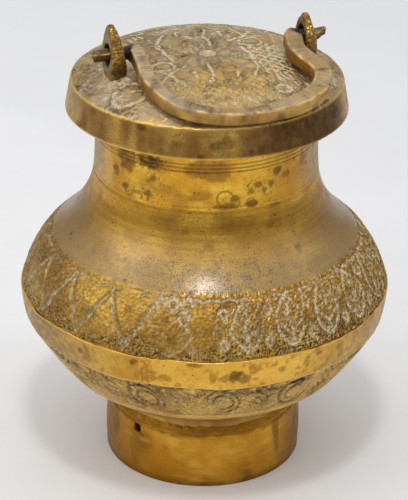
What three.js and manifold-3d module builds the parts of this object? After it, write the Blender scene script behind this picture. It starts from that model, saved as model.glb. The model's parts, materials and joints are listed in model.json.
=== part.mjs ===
// A small brass kamandal, a carried water pot: a turned foot ring, a bellied body in two shells
// under a plain belt, a threaded neck, and a domed screw lid with two upright lugs that hold a
// forged bail. Millimetres, +Z up, the origin at the middle of the foot on its resting plane.
// The bail turns on the X axis and lies towards -Y, on the edge of the lid.

import * as THREE from 'three';
import { mergeVertices } from 'three/addons/utils/BufferGeometryUtils.js';
import Module from 'manifold-3d';

const wasm = await Module();
wasm.setup();

// Shared sizes
const WALL = 1.5; // metal of the bowl, shoulder and neck
const SEAT = 0.3; // seam between two pieces that are brazed or rest on each other
const TURN_STEPS = 48; // flats round a turned piece
const CURVE_STEPS = 4; // points along a short curve of a turned outline
const LONG_CURVE_STEPS = 7;
const HALF = 0.5;
const FULL_TURN = 2 * Math.PI;

// Foot ring, with the solder bead that fixes it to the bowl
const FOOT_RADIUS = 20.7; // at its top
const FOOT_HEIGHT = 12.7;
const FOOT_WAIST = 0.2; // drawn in below the top
const FOOT_FLARE = 0.3; // spread at the resting face
const FOOT_LAND = 0.8; // upright edge above the resting face
const FOOT_WALL = 2.0;
const BEAD_WIDTH = 0.8;
const BEAD_HEIGHT = 1.2;

// Lower shell: collar on the foot, flat underside, crisp edge, then the lower band up to the belt
const COLLAR_INSET = 0.9; // collar radius, in from the foot radius
const COLLAR_HEIGHT = 3.6;
const COLLAR_SPREAD = 0.8; // the collar opens out as it rises
const COLLAR_BEND = [-0.3, 0.6];
const SPIGOT_DEPTH = 1.8; // how far the floor drops into the foot ring
const EDGE_RADIUS = 29.8;
const UNDERSIDE_RISE = 5.2;
const UNDERSIDE_BEND = [0.5, 0.32];
const LOWER_BAND_RISE = 11.5;
const LOWER_BAND_INSET = 1.2; // top of the band, in from the belt's radius
const LOWER_BAND_BEND = [0.63, 0.53];

// Belt over the seam at the belly
const BELLY_RADIUS = 39.15;
const BELT_HEIGHT = 6.6;
const BELT_THICKNESS = 1.75;
const BELT_LEAN = 0.95; // its lower edge stands in from its upper edge
const BELT_BEND = [0.8, 0.5];

// Upper shell: the convex upper band, then the concave shoulder up to the neck
const UPPER_BAND_INSET = 0.25;
const UPPER_BAND_RADIUS = 32.3; // where the band meets the plain shoulder
const UPPER_BAND_RISE = 11.1;
const UPPER_BAND_BEND = [0.29, 0.67];
const SHOULDER_RISE = 14.4;
const SHOULDER_BEND = [0.89, 0.44];

// Neck, with its foot ring line and its thread
const NECK_RADIUS = 23.1;
const NECK_HEIGHT = 12.3;
const NECK_SPREAD = 0.3; // wider at the shoulder
const NECK_LINE_PROUD = 0.35;
const NECK_LINE_HEIGHT = 0.9;
const NECK_SPIGOT = 2.0;
const THREAD_STEP = 0.8; // thread root, in from the neck radius
const THREAD_DEPTH = 0.9;
const THREAD_BASE = 0.8;
const THREAD_CREST = 0.4;
const THREAD_PITCH = 2.0;
const THREAD_TURNS = 1.5;
const THREAD_LEAD = 0.5; // last ridge, below the rim
const THREAD_RELIEF = 1.5; // plain root below the first ridge
const THREAD_CLEARANCE = 0.4;
const THREAD_ROOTING = 0.25; // how deep a ridge is rooted in its wall

// Lid: domed cap with a flaring skirt, threaded collar and washer
const WASHER_THICKNESS = 1.0;
const WASHER_INSET = 0.2;
const COLLAR_WALL = 1.5;
const COLLAR_LIFT = 1.3; // lower end of the lid's collar, above the neck's thread step
const SKIRT_GAP = 1.74; // from the lid's collar to the skirt
const SKIRT_WALL = 1.3;
const SKIRT_HEIGHT = 6.1;
const SKIRT_FLARE = 1.11;
const LID_EDGE_RISE = 0.47; // lid's outer edge, above its seat on the washer
const LID_WALL = 1.6;
const DOME_RISE = 5.0;
const DOME_POWER = 4; // flat in the middle, steep at the edge
const DIMPLE_RADIUS = 1.5;
const DIMPLE_DEPTH = 0.5;
const DIMPLE_SLOPE = 0.3; // its floor is smaller than its mouth by this much all round
const RECESS_MARGIN = 1.2; // metal between the recess under the dome and a tenon's socket

// Lugs, set by hand in front of the lid's middle. A rise is above the pivot, and a crown is the
// share of the width that the top keeps, so a small one makes a pointed leaf.
const LUG_INSET = 7.74; // middle of a lug, in from the lid's radius
const LUG_OFFSET = 3.6; // pivot line, in front of the lid's middle
const LUG_WIDTH = 7.0;
const LUG_BASE_WIDTH = 5.2;
const LUG_TAPER = 0.6; // share of its thickness that a lug loses by its top
const LUG_HOLE_RADIUS = 2.25;
const PIVOT_RISE = 4.7; // above the dome
const TENON_RADIUS = 1.0;
const TENON_DEPTH = 2.2;
const TENON_STEPS = 12; // flats round a tenon and its socket
const LUG_STEPS = 5; // points along each quarter of a lug's outline
const LUG_LEFT = { side: -1, rise: 6.3, crown: 0.6, thickness: 2.8 };
const LUG_RIGHT = { side: 1, rise: 4.8, crown: 0.3, thickness: 2.4 };

// Bail: one forged bar, its bow flat and its ends drawn down to tangs through the lugs.
// Breadths are half breadths from the middle, reaches are from the pivot line.
const BAIL_THICKNESS = 3.0;
const BAIL_REACH = 26.4;
const BAIL_FRONT_WIDTH = 2.2;
const BAIL_ELBOW = 1.6; // rounding where the bar turns out to its tang
const BAIL_STEPS = 52;
const STEEPEST_DROOP = Math.PI / 4; // the search for the bail's rest ends here
const DROOP_HALVINGS = 48;
const TANG_WIDTH = 2.2;
const TANG_THICKNESS = 1.8;
const BAIL_LEFT = {
  side: -1, width: 2.8, lugGap: 1.3, waist: 16.4, waistReach: 5.0, swell: 16.6, swellReach: 11.2,
  corner: 12.4, cornerReach: 20.9, stub: 3.4, tip: TANG_WIDTH,
};
const BAIL_RIGHT = {
  side: 1, width: 3.7, lugGap: 0.9, waist: 15.9, waistReach: 5.7, swell: 18.3, swellReach: 14.2,
  corner: 14.7, cornerReach: 20.6, stub: 2.8, tip: 0.7,
};

// Radii that follow from the sizes
const COLLAR_RADIUS = FOOT_RADIUS - COLLAR_INSET;
const FOOT_BORE = FOOT_RADIUS - FOOT_WALL;
const BELT_BORE = BELLY_RADIUS - BELT_THICKNESS;
const RIM_RADIUS = BELT_BORE - SEAT; // both shells, under the belt
const RIM_BORE = RIM_RADIUS - WALL;
const NECK_BASE_RADIUS = NECK_RADIUS + NECK_SPREAD;
const THREAD_ROOT = NECK_RADIUS - THREAD_STEP;
const NECK_BORE = THREAD_ROOT - WALL;
const LID_THREAD_CREST = THREAD_ROOT + THREAD_CLEARANCE;
const LID_THREAD_ROOT = THREAD_ROOT + THREAD_DEPTH + THREAD_CLEARANCE;
const LID_COLLAR_RADIUS = LID_THREAD_ROOT + COLLAR_WALL;
const LID_RADIUS = LID_COLLAR_RADIUS + SKIRT_GAP + SKIRT_WALL;
const LUG_PLACE = LID_RADIUS - LUG_INSET;
const LUG_DISTANCE = Math.hypot(LUG_PLACE, LUG_OFFSET); // from the lid's axis
const RECESS_RADIUS = LUG_DISTANCE - TENON_RADIUS - SEAT - RECESS_MARGIN;

// Heights of the pieces, from the resting plane up
const BOWL_BASE = FOOT_HEIGHT + SEAT;
const BOWL_RISE = COLLAR_HEIGHT + UNDERSIDE_RISE + LOWER_BAND_RISE;
const BELT_BASE = BOWL_BASE + BOWL_RISE + SEAT;
const SHOULDER_BASE = BELT_BASE + BELT_HEIGHT + SEAT;
const NECK_BASE = SHOULDER_BASE + UPPER_BAND_RISE + SHOULDER_RISE + SEAT;
const THREAD_HEIGHT = THREAD_RELIEF + THREAD_TURNS * THREAD_PITCH + THREAD_LEAD;
const NECK_RIM = NECK_HEIGHT + THREAD_HEIGHT; // above the neck's base
const WASHER_BASE = NECK_BASE + NECK_RIM + SEAT;
const LID_SEAT = WASHER_BASE + WASHER_THICKNESS + SEAT;
const RIM_LAP = (BELT_HEIGHT + SEAT) * HALF; // how far each shell's rim reaches under the belt

const point = (radius, height) => new THREE.Vector2(radius, height);

/** A curve between two points, pulled towards a corner that lies two shares of the way along. */
function bend(start, end, [across, up], steps = CURVE_STEPS) {
  const corner = point(
    THREE.MathUtils.lerp(start.x, end.x, across),
    THREE.MathUtils.lerp(start.y, end.y, up),
  );
  return new THREE.QuadraticBezierCurve(start, corner, end).getPoints(steps);
}

/** The inner side of a wall whose outer side runs upwards through the points. */
function innerSide(outer, thickness) {
  return outer.map((here, i) => {
    const before = here.clone().sub(outer[Math.max(i - 1, 0)]).normalize();
    const after = outer[Math.min(i + 1, outer.length - 1)].clone().sub(here).normalize();
    const along = before.clone().add(after).normalize();
    const mitre = Math.max(along.dot(before.lengthSq() > 0 ? before : after), HALF);
    return point(here.x - along.y * thickness / mitre, here.y + along.x * thickness / mitre);
  });
}

/** A solid turned about Z from an outline that runs anticlockwise, open only on the axis. */
function turned(outline) {
  const onAxis = outline[0].x === 0;
  const points = onAxis ? outline : [...outline, outline[0].clone()];
  return new THREE.LatheGeometry(points, TURN_STEPS).rotateX(Math.PI * HALF);
}

/** Drops the normals and joins shared corners, and leaves out the faces that closed to a line. */
function welded(geometry) {
  const bare = new THREE.BufferGeometry();
  bare.setAttribute('position', geometry.getAttribute('position').clone());
  if (geometry.index) bare.setIndex(geometry.index.clone());
  const merged = mergeVertices(bare);
  const faces = [];
  for (let i = 0; i < merged.index.count; i += 3) {
    const [a, b, c] = [0, 1, 2].map((k) => merged.index.getX(i + k));
    if (a !== b && b !== c && c !== a) faces.push(a, b, c);
  }
  merged.setIndex(faces);
  return merged;
}

function toSolid(geometry) {
  const shape = welded(geometry);
  return new wasm.Manifold(new wasm.Mesh({
    numProp: 3,
    vertProperties: new Float32Array(shape.getAttribute('position').array),
    triVerts: new Uint32Array(shape.index.array),
  }));
}

function toGeometry(solid) {
  const { vertProperties, triVerts } = solid.getMesh();
  const geometry = new THREE.BufferGeometry();
  geometry.setAttribute('position', new THREE.BufferAttribute(vertProperties, 3));
  geometry.setIndex(new THREE.BufferAttribute(triVerts, 1));
  geometry.computeVertexNormals();
  return geometry;
}

/** A named piece of the pot, from a geometry in its own frame. */
function piece(name, geometry, color, roughness, height = 0, metalness = 1) {
  const shape = welded(geometry);
  shape.computeVertexNormals();
  const material = new THREE.MeshStandardMaterial({ color, roughness, metalness });
  const mesh = new THREE.Mesh(shape, material);
  mesh.name = name;
  mesh.position.z = height;
  return mesh;
}

// Foot

function footRing() {
  return turned([
    point(FOOT_BORE, 0),
    point(FOOT_RADIUS + FOOT_FLARE, 0),
    point(FOOT_RADIUS + FOOT_FLARE, FOOT_LAND),
    point(FOOT_RADIUS - FOOT_WAIST, FOOT_HEIGHT * HALF),
    point(FOOT_RADIUS, FOOT_HEIGHT - BEAD_HEIGHT * HALF),
    point(FOOT_RADIUS - BEAD_WIDTH * HALF, FOOT_HEIGHT),
    point(FOOT_BORE, FOOT_HEIGHT),
  ]);
}

/** A fillet of solder in the corner between the foot ring's top and the bowl's collar. */
function solderBead() {
  const inner = COLLAR_RADIUS + SEAT;
  return turned([
    point(inner, SEAT),
    point(inner + BEAD_WIDTH, SEAT * HALF),
    point(inner + BEAD_WIDTH * HALF, BEAD_HEIGHT * HALF),
    point(inner, BEAD_HEIGHT),
  ]);
}

// Body

function bowl() {
  const collarTop = point(COLLAR_RADIUS + COLLAR_SPREAD, COLLAR_HEIGHT);
  const edge = point(EDGE_RADIUS, COLLAR_HEIGHT + UNDERSIDE_RISE);
  const bandTop = point(BELLY_RADIUS - LOWER_BAND_INSET, BOWL_RISE);
  const outer = [
    ...bend(point(COLLAR_RADIUS, 0), collarTop, COLLAR_BEND),
    ...bend(collarTop, edge, UNDERSIDE_BEND).slice(1),
    ...bend(edge, bandTop, LOWER_BAND_BEND).slice(1),
  ];
  const inner = innerSide(outer, WALL).map((p) => point(Math.min(p.x, RIM_BORE), p.y));
  const spigot = FOOT_BORE - SEAT;
  const floor = WALL - SPIGOT_DEPTH;
  const rim = BOWL_RISE + RIM_LAP;
  return turned([
    point(0, -SPIGOT_DEPTH),
    point(spigot, -SPIGOT_DEPTH),
    point(spigot, 0),
    ...outer,
    point(RIM_RADIUS, BOWL_RISE),
    point(RIM_RADIUS, rim),
    point(RIM_BORE, rim),
    ...inner.slice(1).reverse(),
    point(spigot - WALL, floor + WALL),
    point(spigot - WALL, floor),
    point(0, floor),
  ]);
}

function belt() {
  const low = BELLY_RADIUS - BELT_LEAN;
  return turned([
    point(BELT_BORE, 0),
    ...bend(point(low, 0), point(BELLY_RADIUS, BELT_HEIGHT), BELT_BEND),
    point(BELT_BORE, BELT_HEIGHT),
  ]);
}

function shoulder() {
  const bandFoot = point(BELLY_RADIUS - UPPER_BAND_INSET, 0);
  const bandTop = point(UPPER_BAND_RADIUS, UPPER_BAND_RISE);
  const top = point(NECK_BASE_RADIUS, UPPER_BAND_RISE + SHOULDER_RISE);
  const outer = [
    ...bend(bandFoot, bandTop, UPPER_BAND_BEND, LONG_CURVE_STEPS),
    ...bend(bandTop, top, SHOULDER_BEND, LONG_CURVE_STEPS).slice(1),
  ];
  const inner = innerSide(outer, WALL).map((p) => point(Math.min(p.x, RIM_BORE), p.y));
  return turned([
    point(RIM_BORE, -RIM_LAP),
    point(RIM_RADIUS, -RIM_LAP),
    point(RIM_RADIUS, 0),
    ...outer,
    point(top.x - WALL, top.y),
    ...inner.slice(1, -1).reverse(),
  ]);
}

// Thread

/** A screw line about Z, whose section stays upright and square to the wall. */
class ScrewLine extends THREE.Curve {
  constructor(radius, start) {
    super();
    this.radius = radius;
    this.start = start;
  }

  getPoint(share, target = new THREE.Vector3()) {
    const angle = share * THREAD_TURNS * FULL_TURN;
    const height = this.start + share * THREAD_TURNS * THREAD_PITCH;
    return target.set(this.radius * Math.cos(angle), this.radius * Math.sin(angle), height);
  }

  computeFrenetFrames(steps) {
    const frames = { tangents: [], normals: [], binormals: [] };
    for (let i = 0; i <= steps; i += 1) {
      const angle = (i / steps) * THREAD_TURNS * FULL_TURN;
      frames.tangents.push(new THREE.Vector3(-Math.sin(angle), Math.cos(angle), 0));
      frames.normals.push(new THREE.Vector3(Math.cos(angle), Math.sin(angle), 0));
      frames.binormals.push(new THREE.Vector3(0, 0, -1));
    }
    return frames;
  }
}

/** One ridge of the thread: out is 1 on the neck and -1 inside the lid's collar. */
function threadRidge(wallRadius, start, out) {
  const section = new THREE.Shape([
    point(-THREAD_ROOTING * out, -THREAD_BASE * HALF),
    point(THREAD_DEPTH * out, -THREAD_CREST * HALF),
    point(THREAD_DEPTH * out, THREAD_CREST * HALF),
    point(-THREAD_ROOTING * out, THREAD_BASE * HALF),
  ]);
  const steps = Math.round(THREAD_TURNS * TURN_STEPS);
  return new THREE.ExtrudeGeometry(section, {
    steps,
    extrudePath: new ScrewLine(wallRadius, start),
  });
}

const neckRidgeStart = NECK_RIM - THREAD_LEAD - THREAD_TURNS * THREAD_PITCH;

function neck() {
  const line = NECK_BASE_RADIUS + NECK_LINE_PROUD;
  const spigot = NECK_BASE_RADIUS - WALL - SEAT;
  const tube = turned([
    point(NECK_BORE, -NECK_SPIGOT),
    point(spigot, -NECK_SPIGOT),
    point(spigot, 0),
    point(NECK_BASE_RADIUS, 0),
    point(line, NECK_LINE_HEIGHT * HALF),
    point(NECK_BASE_RADIUS, NECK_LINE_HEIGHT),
    point(NECK_RADIUS, NECK_HEIGHT * HALF),
    point(NECK_RADIUS, NECK_HEIGHT),
    point(THREAD_ROOT, NECK_HEIGHT),
    point(THREAD_ROOT, NECK_RIM),
    point(NECK_BORE, NECK_RIM),
  ]);
  const ridge = threadRidge(THREAD_ROOT, neckRidgeStart, 1);
  return toGeometry(toSolid(tube).add(toSolid(ridge)));
}

// Lid, in a frame whose zero height is the lid's seat on the washer

const domeHeight = (radius) => (
  LID_EDGE_RISE + DOME_RISE * (1 - (radius / LID_RADIUS) ** DOME_POWER)
);

/** The dome's outline from the rim to the axis, raised or lowered by a lift. */
function domeOutline(reach, lift, steps = LONG_CURVE_STEPS) {
  return Array.from({ length: steps + 1 }, (_, i) => {
    const radius = reach * Math.cos((i / steps) * Math.PI * HALF);
    return point(i === steps ? 0 : radius, domeHeight(radius) + lift);
  });
}

const lidCollarFoot = NECK_BASE + NECK_HEIGHT + COLLAR_LIFT - LID_SEAT;

function lidCap() {
  const top = domeOutline(LID_RADIUS, 0).filter((p) => p.x > DIMPLE_RADIUS);
  const roof = domeOutline(RECESS_RADIUS, -LID_WALL, CURVE_STEPS).reverse();
  const skirtFoot = LID_EDGE_RISE - SKIRT_HEIGHT;
  const crown = domeHeight(0);
  const cap = toSolid(turned([
    ...roof,
    point(RECESS_RADIUS, 0),
    point(LID_RADIUS - SKIRT_WALL, 0),
    point(LID_RADIUS + SKIRT_FLARE - SKIRT_WALL, skirtFoot),
    point(LID_RADIUS + SKIRT_FLARE, skirtFoot),
    ...top,
    point(DIMPLE_RADIUS, crown),
    point(DIMPLE_RADIUS - DIMPLE_SLOPE, crown - DIMPLE_DEPTH),
    point(0, crown - DIMPLE_DEPTH),
  ]));
  const sockets = [-1, 1].map((side) => (
    tenon(SEAT).translate(side * LUG_PLACE, -LUG_OFFSET, 0)
  ));
  return toGeometry(sockets.reduce((solid, socket) => solid.subtract(socket), cap));
}

/** The round tenon under a lug, or with a clearance its blind socket in the lid. */
function tenon(clearance) {
  const top = domeHeight(LUG_DISTANCE) + WALL;
  const foot = domeHeight(LUG_DISTANCE) - TENON_DEPTH - clearance;
  const pin = new THREE.CylinderGeometry(
    TENON_RADIUS + clearance, TENON_RADIUS + clearance, top - foot, TENON_STEPS,
  );
  return toSolid(pin.rotateX(Math.PI * HALF).translate(0, 0, (top + foot) * HALF));
}

function lidCollar() {
  const tube = turned([
    point(LID_THREAD_ROOT, lidCollarFoot),
    point(LID_COLLAR_RADIUS, lidCollarFoot),
    point(LID_COLLAR_RADIUS, -SEAT),
    point(LID_THREAD_ROOT, -SEAT),
  ]);
  const start = NECK_BASE + neckRidgeStart + THREAD_PITCH * HALF - LID_SEAT;
  const ridge = threadRidge(LID_THREAD_ROOT, start, -1);
  return toGeometry(toSolid(tube).add(toSolid(ridge)));
}

function washer() {
  const inner = NECK_BORE + WASHER_INSET;
  const outer = LID_THREAD_CREST - SEAT;
  return turned([
    point(inner, 0),
    point(outer, 0),
    point(outer, WASHER_THICKNESS),
    point(inner, WASHER_THICKNESS),
  ]);
}

// Lugs

const pivotHeight = domeHeight(LUG_DISTANCE) + PIVOT_RISE;

/** The leaf outline of a lug with its hole, about the pivot. */
function leafShape({ rise, crown }) {
  const [wide, base, low] = [LUG_WIDTH * HALF, LUG_BASE_WIDTH * HALF, -PIVOT_RISE - WALL];
  const leaf = new THREE.Shape();
  leaf.moveTo(-base, low);
  leaf.lineTo(base, low);
  leaf.bezierCurveTo(base, low * HALF, wide, -wide, wide, 0);
  leaf.bezierCurveTo(wide, wide * HALF, wide * crown, rise, 0, rise);
  leaf.bezierCurveTo(-wide * crown, rise, -wide, wide * HALF, -wide, 0);
  leaf.bezierCurveTo(-wide, -wide, -base, low * HALF, -base, low);
  leaf.holes.push(new THREE.Path().absarc(0, 0, LUG_HOLE_RADIUS, 0, FULL_TURN, true));
  return leaf;
}

/** The thinning of a lug towards its top, seen along the lid's edge. */
function taperShape({ rise, thickness }) {
  const [foot, top] = [thickness * HALF, thickness * (1 - LUG_TAPER) * HALF];
  return new THREE.Shape([
    point(-foot, -PIVOT_RISE - 2 * WALL),
    point(foot, -PIVOT_RISE - 2 * WALL),
    point(foot, -LUG_HOLE_RADIUS),
    point(top, rise + WALL),
    point(-top, rise + WALL),
    point(-foot, -LUG_HOLE_RADIUS),
  ]);
}

function lug(form) {
  const flat = { bevelEnabled: false, curveSegments: LUG_STEPS };
  const leaf = new THREE.ExtrudeGeometry(leafShape(form), { ...flat, depth: 2 * form.thickness })
    .translate(0, 0, -form.thickness)
    .rotateX(Math.PI * HALF)
    .rotateZ(Math.PI * HALF);
  const taper = new THREE.ExtrudeGeometry(taperShape(form), { ...flat, depth: 2 * LUG_WIDTH })
    .translate(0, 0, -LUG_WIDTH)
    .rotateX(Math.PI * HALF);
  const dome = toSolid(turned([
    point(0, -LID_RADIUS),
    point(LID_RADIUS, -LID_RADIUS),
    ...domeOutline(LID_RADIUS, SEAT),
  ])).translate(-form.side * LUG_PLACE, LUG_OFFSET, -pivotHeight);
  const plate = toSolid(leaf).intersect(toSolid(taper)).subtract(dome);
  return toGeometry(plate.add(tenon(0).translate(0, 0, -pivotHeight)));
}

// Bail, in its own plane: it reaches towards -Y from the pivot line on X

const lugThickness = (side) => (side < 0 ? LUG_LEFT : LUG_RIGHT).thickness;

/** The end of the bar, beside its lug and just behind the pivot line. */
function barEnd({ side, width, lugGap }) {
  const lugInnerFace = LUG_PLACE - lugThickness(side) * HALF;
  return new THREE.Vector3(side * (lugInnerFace - lugGap - width * HALF), TANG_WIDTH * HALF, 0);
}

/** The bar's middle line, from the left end round the front to the right end. */
function bowLine() {
  const half = (s) => [
    barEnd(s),
    new THREE.Vector3(s.side * s.waist, -s.waistReach, 0),
    new THREE.Vector3(s.side * s.swell, -s.swellReach, 0),
    new THREE.Vector3(s.side * s.corner, -s.cornerReach, 0),
  ];
  const front = new THREE.Vector3(0, BAIL_FRONT_WIDTH * HALF - BAIL_REACH, 0);
  const points = [...half(BAIL_LEFT), front, ...half(BAIL_RIGHT).reverse()];
  return new THREE.CatmullRomCurve3(points, false, 'centripetal');
}

/** The bar's outline seen square to the bail, wider at the sides than at the front. */
function bowOutline() {
  const line = bowLine();
  const length = line.getLength();
  const edges = { outer: [], inner: [] };
  for (let i = 0; i <= BAIL_STEPS; i += 1) {
    const here = line.getPointAt(i / BAIL_STEPS);
    const along = line.getTangentAt(i / BAIL_STEPS);
    const form = here.x < 0 ? BAIL_LEFT : BAIL_RIGHT;
    const share = THREE.MathUtils.smoothstep(Math.abs(here.x), 0, form.corner);
    const outer = THREE.MathUtils.lerp(BAIL_FRONT_WIDTH, form.width, share) * HALF;
    const inner = outer - elbowCut(Math.min(i, BAIL_STEPS - i) / BAIL_STEPS * length);
    edges.outer.push(point(here.x + along.y * outer, here.y - along.x * outer));
    edges.inner.push(point(here.x - along.y * inner, here.y + along.x * inner));
  }
  return [...edges.outer, ...edges.inner.reverse()];
}

/** How much a round elbow takes off the bar's inner edge at a distance from its end. */
function elbowCut(distance) {
  const short = Math.max(BAIL_ELBOW - distance, 0);
  return BAIL_ELBOW - Math.sqrt(BAIL_ELBOW ** 2 - short ** 2);
}

/** A tang through its lug: square cut where the tip is full, and otherwise a wedge. */
function tangShape({ side, stub, tip, ...form }) {
  const root = Math.abs(barEnd({ side, ...form }).x);
  const face = LUG_PLACE + lugThickness(side) * HALF;
  const back = TANG_WIDTH * HALF;
  return new THREE.Shape([
    point(side * root, back),
    point(side * (face + stub), back),
    point(side * (face + stub), back - tip),
    point(side * face, -back),
    point(side * root, -back),
  ]);
}

function plate(shape, thickness) {
  const slab = new THREE.ExtrudeGeometry(shape, { depth: thickness, bevelEnabled: false });
  return toSolid(slab.translate(0, 0, -thickness * HALF));
}

function bail() {
  const bow = plate(new THREE.Shape(bowOutline()), BAIL_THICKNESS);
  const tangs = [BAIL_LEFT, BAIL_RIGHT].map((form) => plate(tangShape(form), TANG_THICKNESS));
  return toGeometry(tangs.reduce((solid, tang) => solid.add(tang), bow));
}

/** Least height of the bail's underside over the lid when it droops by an angle. */
function clearanceAt(droop, outline) {
  const gaps = outline.map(({ x, y }) => {
    const out = LUG_OFFSET - y * Math.cos(droop) - BAIL_THICKNESS * HALF * Math.sin(droop);
    const height = pivotHeight + y * Math.sin(droop) - BAIL_THICKNESS * HALF * Math.cos(droop);
    const radius = Math.hypot(x, out);
    return radius > LID_RADIUS ? Infinity : height - domeHeight(radius);
  });
  return Math.min(...gaps);
}

/** The droop at which the bail comes to rest on the lid, found by halving. */
function restingDroop() {
  const outline = bowOutline();
  let [free, deep] = [0, STEEPEST_DROOP];
  for (let i = 0; i < DROOP_HALVINGS; i += 1) {
    const middle = (free + deep) * HALF;
    if (clearanceAt(middle, outline) > SEAT) free = middle;
    else deep = middle;
  }
  return free;
}

// Assembly

const BRASS = 0xb58a3c;
const DARK_BRASS = 0x8a6a38;
const DULL_BRASS = 0x9b8050;
const LEATHER = 0x5a3d28;

const pot = new THREE.Group();
pot.add(
  piece('foot_ring', footRing(), BRASS, 0.42),
  piece('foot_solder', solderBead(), DARK_BRASS, 0.6, FOOT_HEIGHT),
  piece('bowl', bowl(), DULL_BRASS, 0.5, BOWL_BASE),
  piece('belt', belt(), BRASS, 0.35, BELT_BASE),
  piece('shoulder', shoulder(), BRASS, 0.4, SHOULDER_BASE),
  piece('neck', neck(), BRASS, 0.35, NECK_BASE),
  piece('washer', washer(), LEATHER, 0.9, WASHER_BASE, 0),
);

const lid = new THREE.Group();
lid.position.z = LID_SEAT;
lid.add(
  piece('lid_cap', lidCap(), DARK_BRASS, 0.5),
  piece('lid_collar', lidCollar(), DULL_BRASS, 0.5),
);
for (const [form, name] of [[LUG_LEFT, 'lug_left'], [LUG_RIGHT, 'lug_right']]) {
  const ear = piece(name, lug(form), DULL_BRASS, 0.45, pivotHeight);
  ear.position.x = form.side * LUG_PLACE;
  ear.position.y = -LUG_OFFSET;
  lid.add(ear);
}

const handle = piece('bail', bail(), DULL_BRASS, 0.45, pivotHeight);
handle.position.y = -LUG_OFFSET;
handle.rotation.x = restingDroop();
lid.add(handle);

const kamandal = new THREE.Group();
kamandal.add(pot, lid);

export default kamandal;
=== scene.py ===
# %% [markdown]
# # A small brass water pot with a screw lid and a bail
#
# The pot is built round a measured frame: every shell, the lid, the lugs and the bail are already
# there as plain solids. This lesson dresses them. Each piece is a surface worked out with numpy,
# so that dents, chased lines and worn edges are real shape, and each finish is a procedural brass.

# %% The frame and the sizes that it brings
import json
import bpy
import numpy as np
from mathutils import Matrix, Vector


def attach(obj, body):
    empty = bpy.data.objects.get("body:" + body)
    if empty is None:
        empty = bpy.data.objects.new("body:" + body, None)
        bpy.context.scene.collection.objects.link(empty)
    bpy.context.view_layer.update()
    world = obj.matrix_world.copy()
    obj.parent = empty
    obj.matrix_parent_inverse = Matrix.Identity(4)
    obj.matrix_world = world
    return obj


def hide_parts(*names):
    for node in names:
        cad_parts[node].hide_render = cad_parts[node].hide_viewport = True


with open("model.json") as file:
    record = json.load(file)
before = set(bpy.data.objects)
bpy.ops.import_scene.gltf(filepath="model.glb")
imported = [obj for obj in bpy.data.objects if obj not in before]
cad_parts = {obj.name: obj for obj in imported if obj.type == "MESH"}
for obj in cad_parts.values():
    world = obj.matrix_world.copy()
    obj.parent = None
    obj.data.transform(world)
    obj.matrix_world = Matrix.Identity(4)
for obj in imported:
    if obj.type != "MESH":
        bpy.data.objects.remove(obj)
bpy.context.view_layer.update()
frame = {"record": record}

MM = 0.001
TURN = 2 * np.pi

# %% [markdown]
# ## Camera
#
# The photograph looks down on the pot by 26 degrees, with a long lens that stands about two and a
# half pot heights up. The pot is turned under it by 18 degrees, so the camera is left of its front.

# %% Camera
VIEW_TURN = np.radians(17.9)
VIEW_TILT = np.radians(26.2)
VIEW_ROLL = np.radians(0.77)
VIEW_DISTANCE = 425.4
VIEW_HEIGHT = 255.2
VIEW_ASIDE = -0.2
FOCAL_PIXELS = 2229
FRAME_PIXELS = 500
SENSOR = 36


def turned_view(x, y):
    """A point of the photograph's own frame, turned about Z into the pot's frame."""
    c, s = np.cos(VIEW_TURN), np.sin(VIEW_TURN)
    return x * c + y * s, y * c - x * s


def make_camera():
    """The camera, whose axes follow from its turn, its tilt and its roll."""
    ahead = Vector((*turned_view(0, np.cos(VIEW_TILT)), -np.sin(VIEW_TILT)))
    right = ahead.cross(Vector((0, 0, 1))).normalized()
    up = right.cross(ahead)
    c, s = np.cos(VIEW_ROLL), np.sin(VIEW_ROLL)
    right, up = right * c + up * s, up * c - right * s
    place = Vector((*turned_view(VIEW_ASIDE, -VIEW_DISTANCE), VIEW_HEIGHT)) * MM
    camera = bpy.data.objects.new("camera", bpy.data.cameras.new("camera"))
    camera.data.sensor_width = SENSOR
    camera.data.lens = FOCAL_PIXELS / FRAME_PIXELS * SENSOR
    camera.matrix_world = Matrix.Translation(place) @ Matrix((right, up, -ahead)).transposed().to_4x4()
    bpy.context.scene.collection.objects.link(camera)
    bpy.context.scene.camera = camera
    return camera


print("camera stands at", [round(v / MM) for v in make_camera().matrix_world.translation], "mm")

# %% [markdown]
# ## Tools for surfaces
#
# A turned piece is an outline carried round an axis. The outline's corners are rounded, because
# worn brass has no sharp ones. Heights for dents and punched dots come from two kinds of noise,
# both worked out in space, so that they meet all the way round with no seam.

# %% Curves and noise
def ease(x, low, high):
    """0 below low, 1 above high, and 3t^2 - 2t^3 between them."""
    t = np.clip((x - low) / (high - low), 0, 1)
    return t * t * (3 - 2 * t)


def curve(start, end, pull, steps=40):
    """A quadratic curve between two points, pulled to a corner two shares of the way along."""
    start, end = np.array(start, float), np.array(end, float)
    corner = start + (end - start) * np.array(pull)
    t = np.linspace(0, 1, steps)[:, None]
    return start * (1 - t) ** 2 + 2 * corner * t * (1 - t) + end * t * t


def most(*values):
    """The largest of several values, place by place."""
    return np.maximum.reduce(np.broadcast_arrays(*values))


def least(*values):
    """The smallest of several values, place by place."""
    return np.minimum.reduce(np.broadcast_arrays(*values))


LATTICE = 4096


def scramble(cell):
    """A repeatable random number, below LATTICE, for each whole-numbered cell."""
    spread = cell * np.array([73856093, 19349663, 83492791])[: cell.shape[-1]]
    return np.bitwise_xor.reduce(spread, axis=-1) % LATTICE


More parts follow.
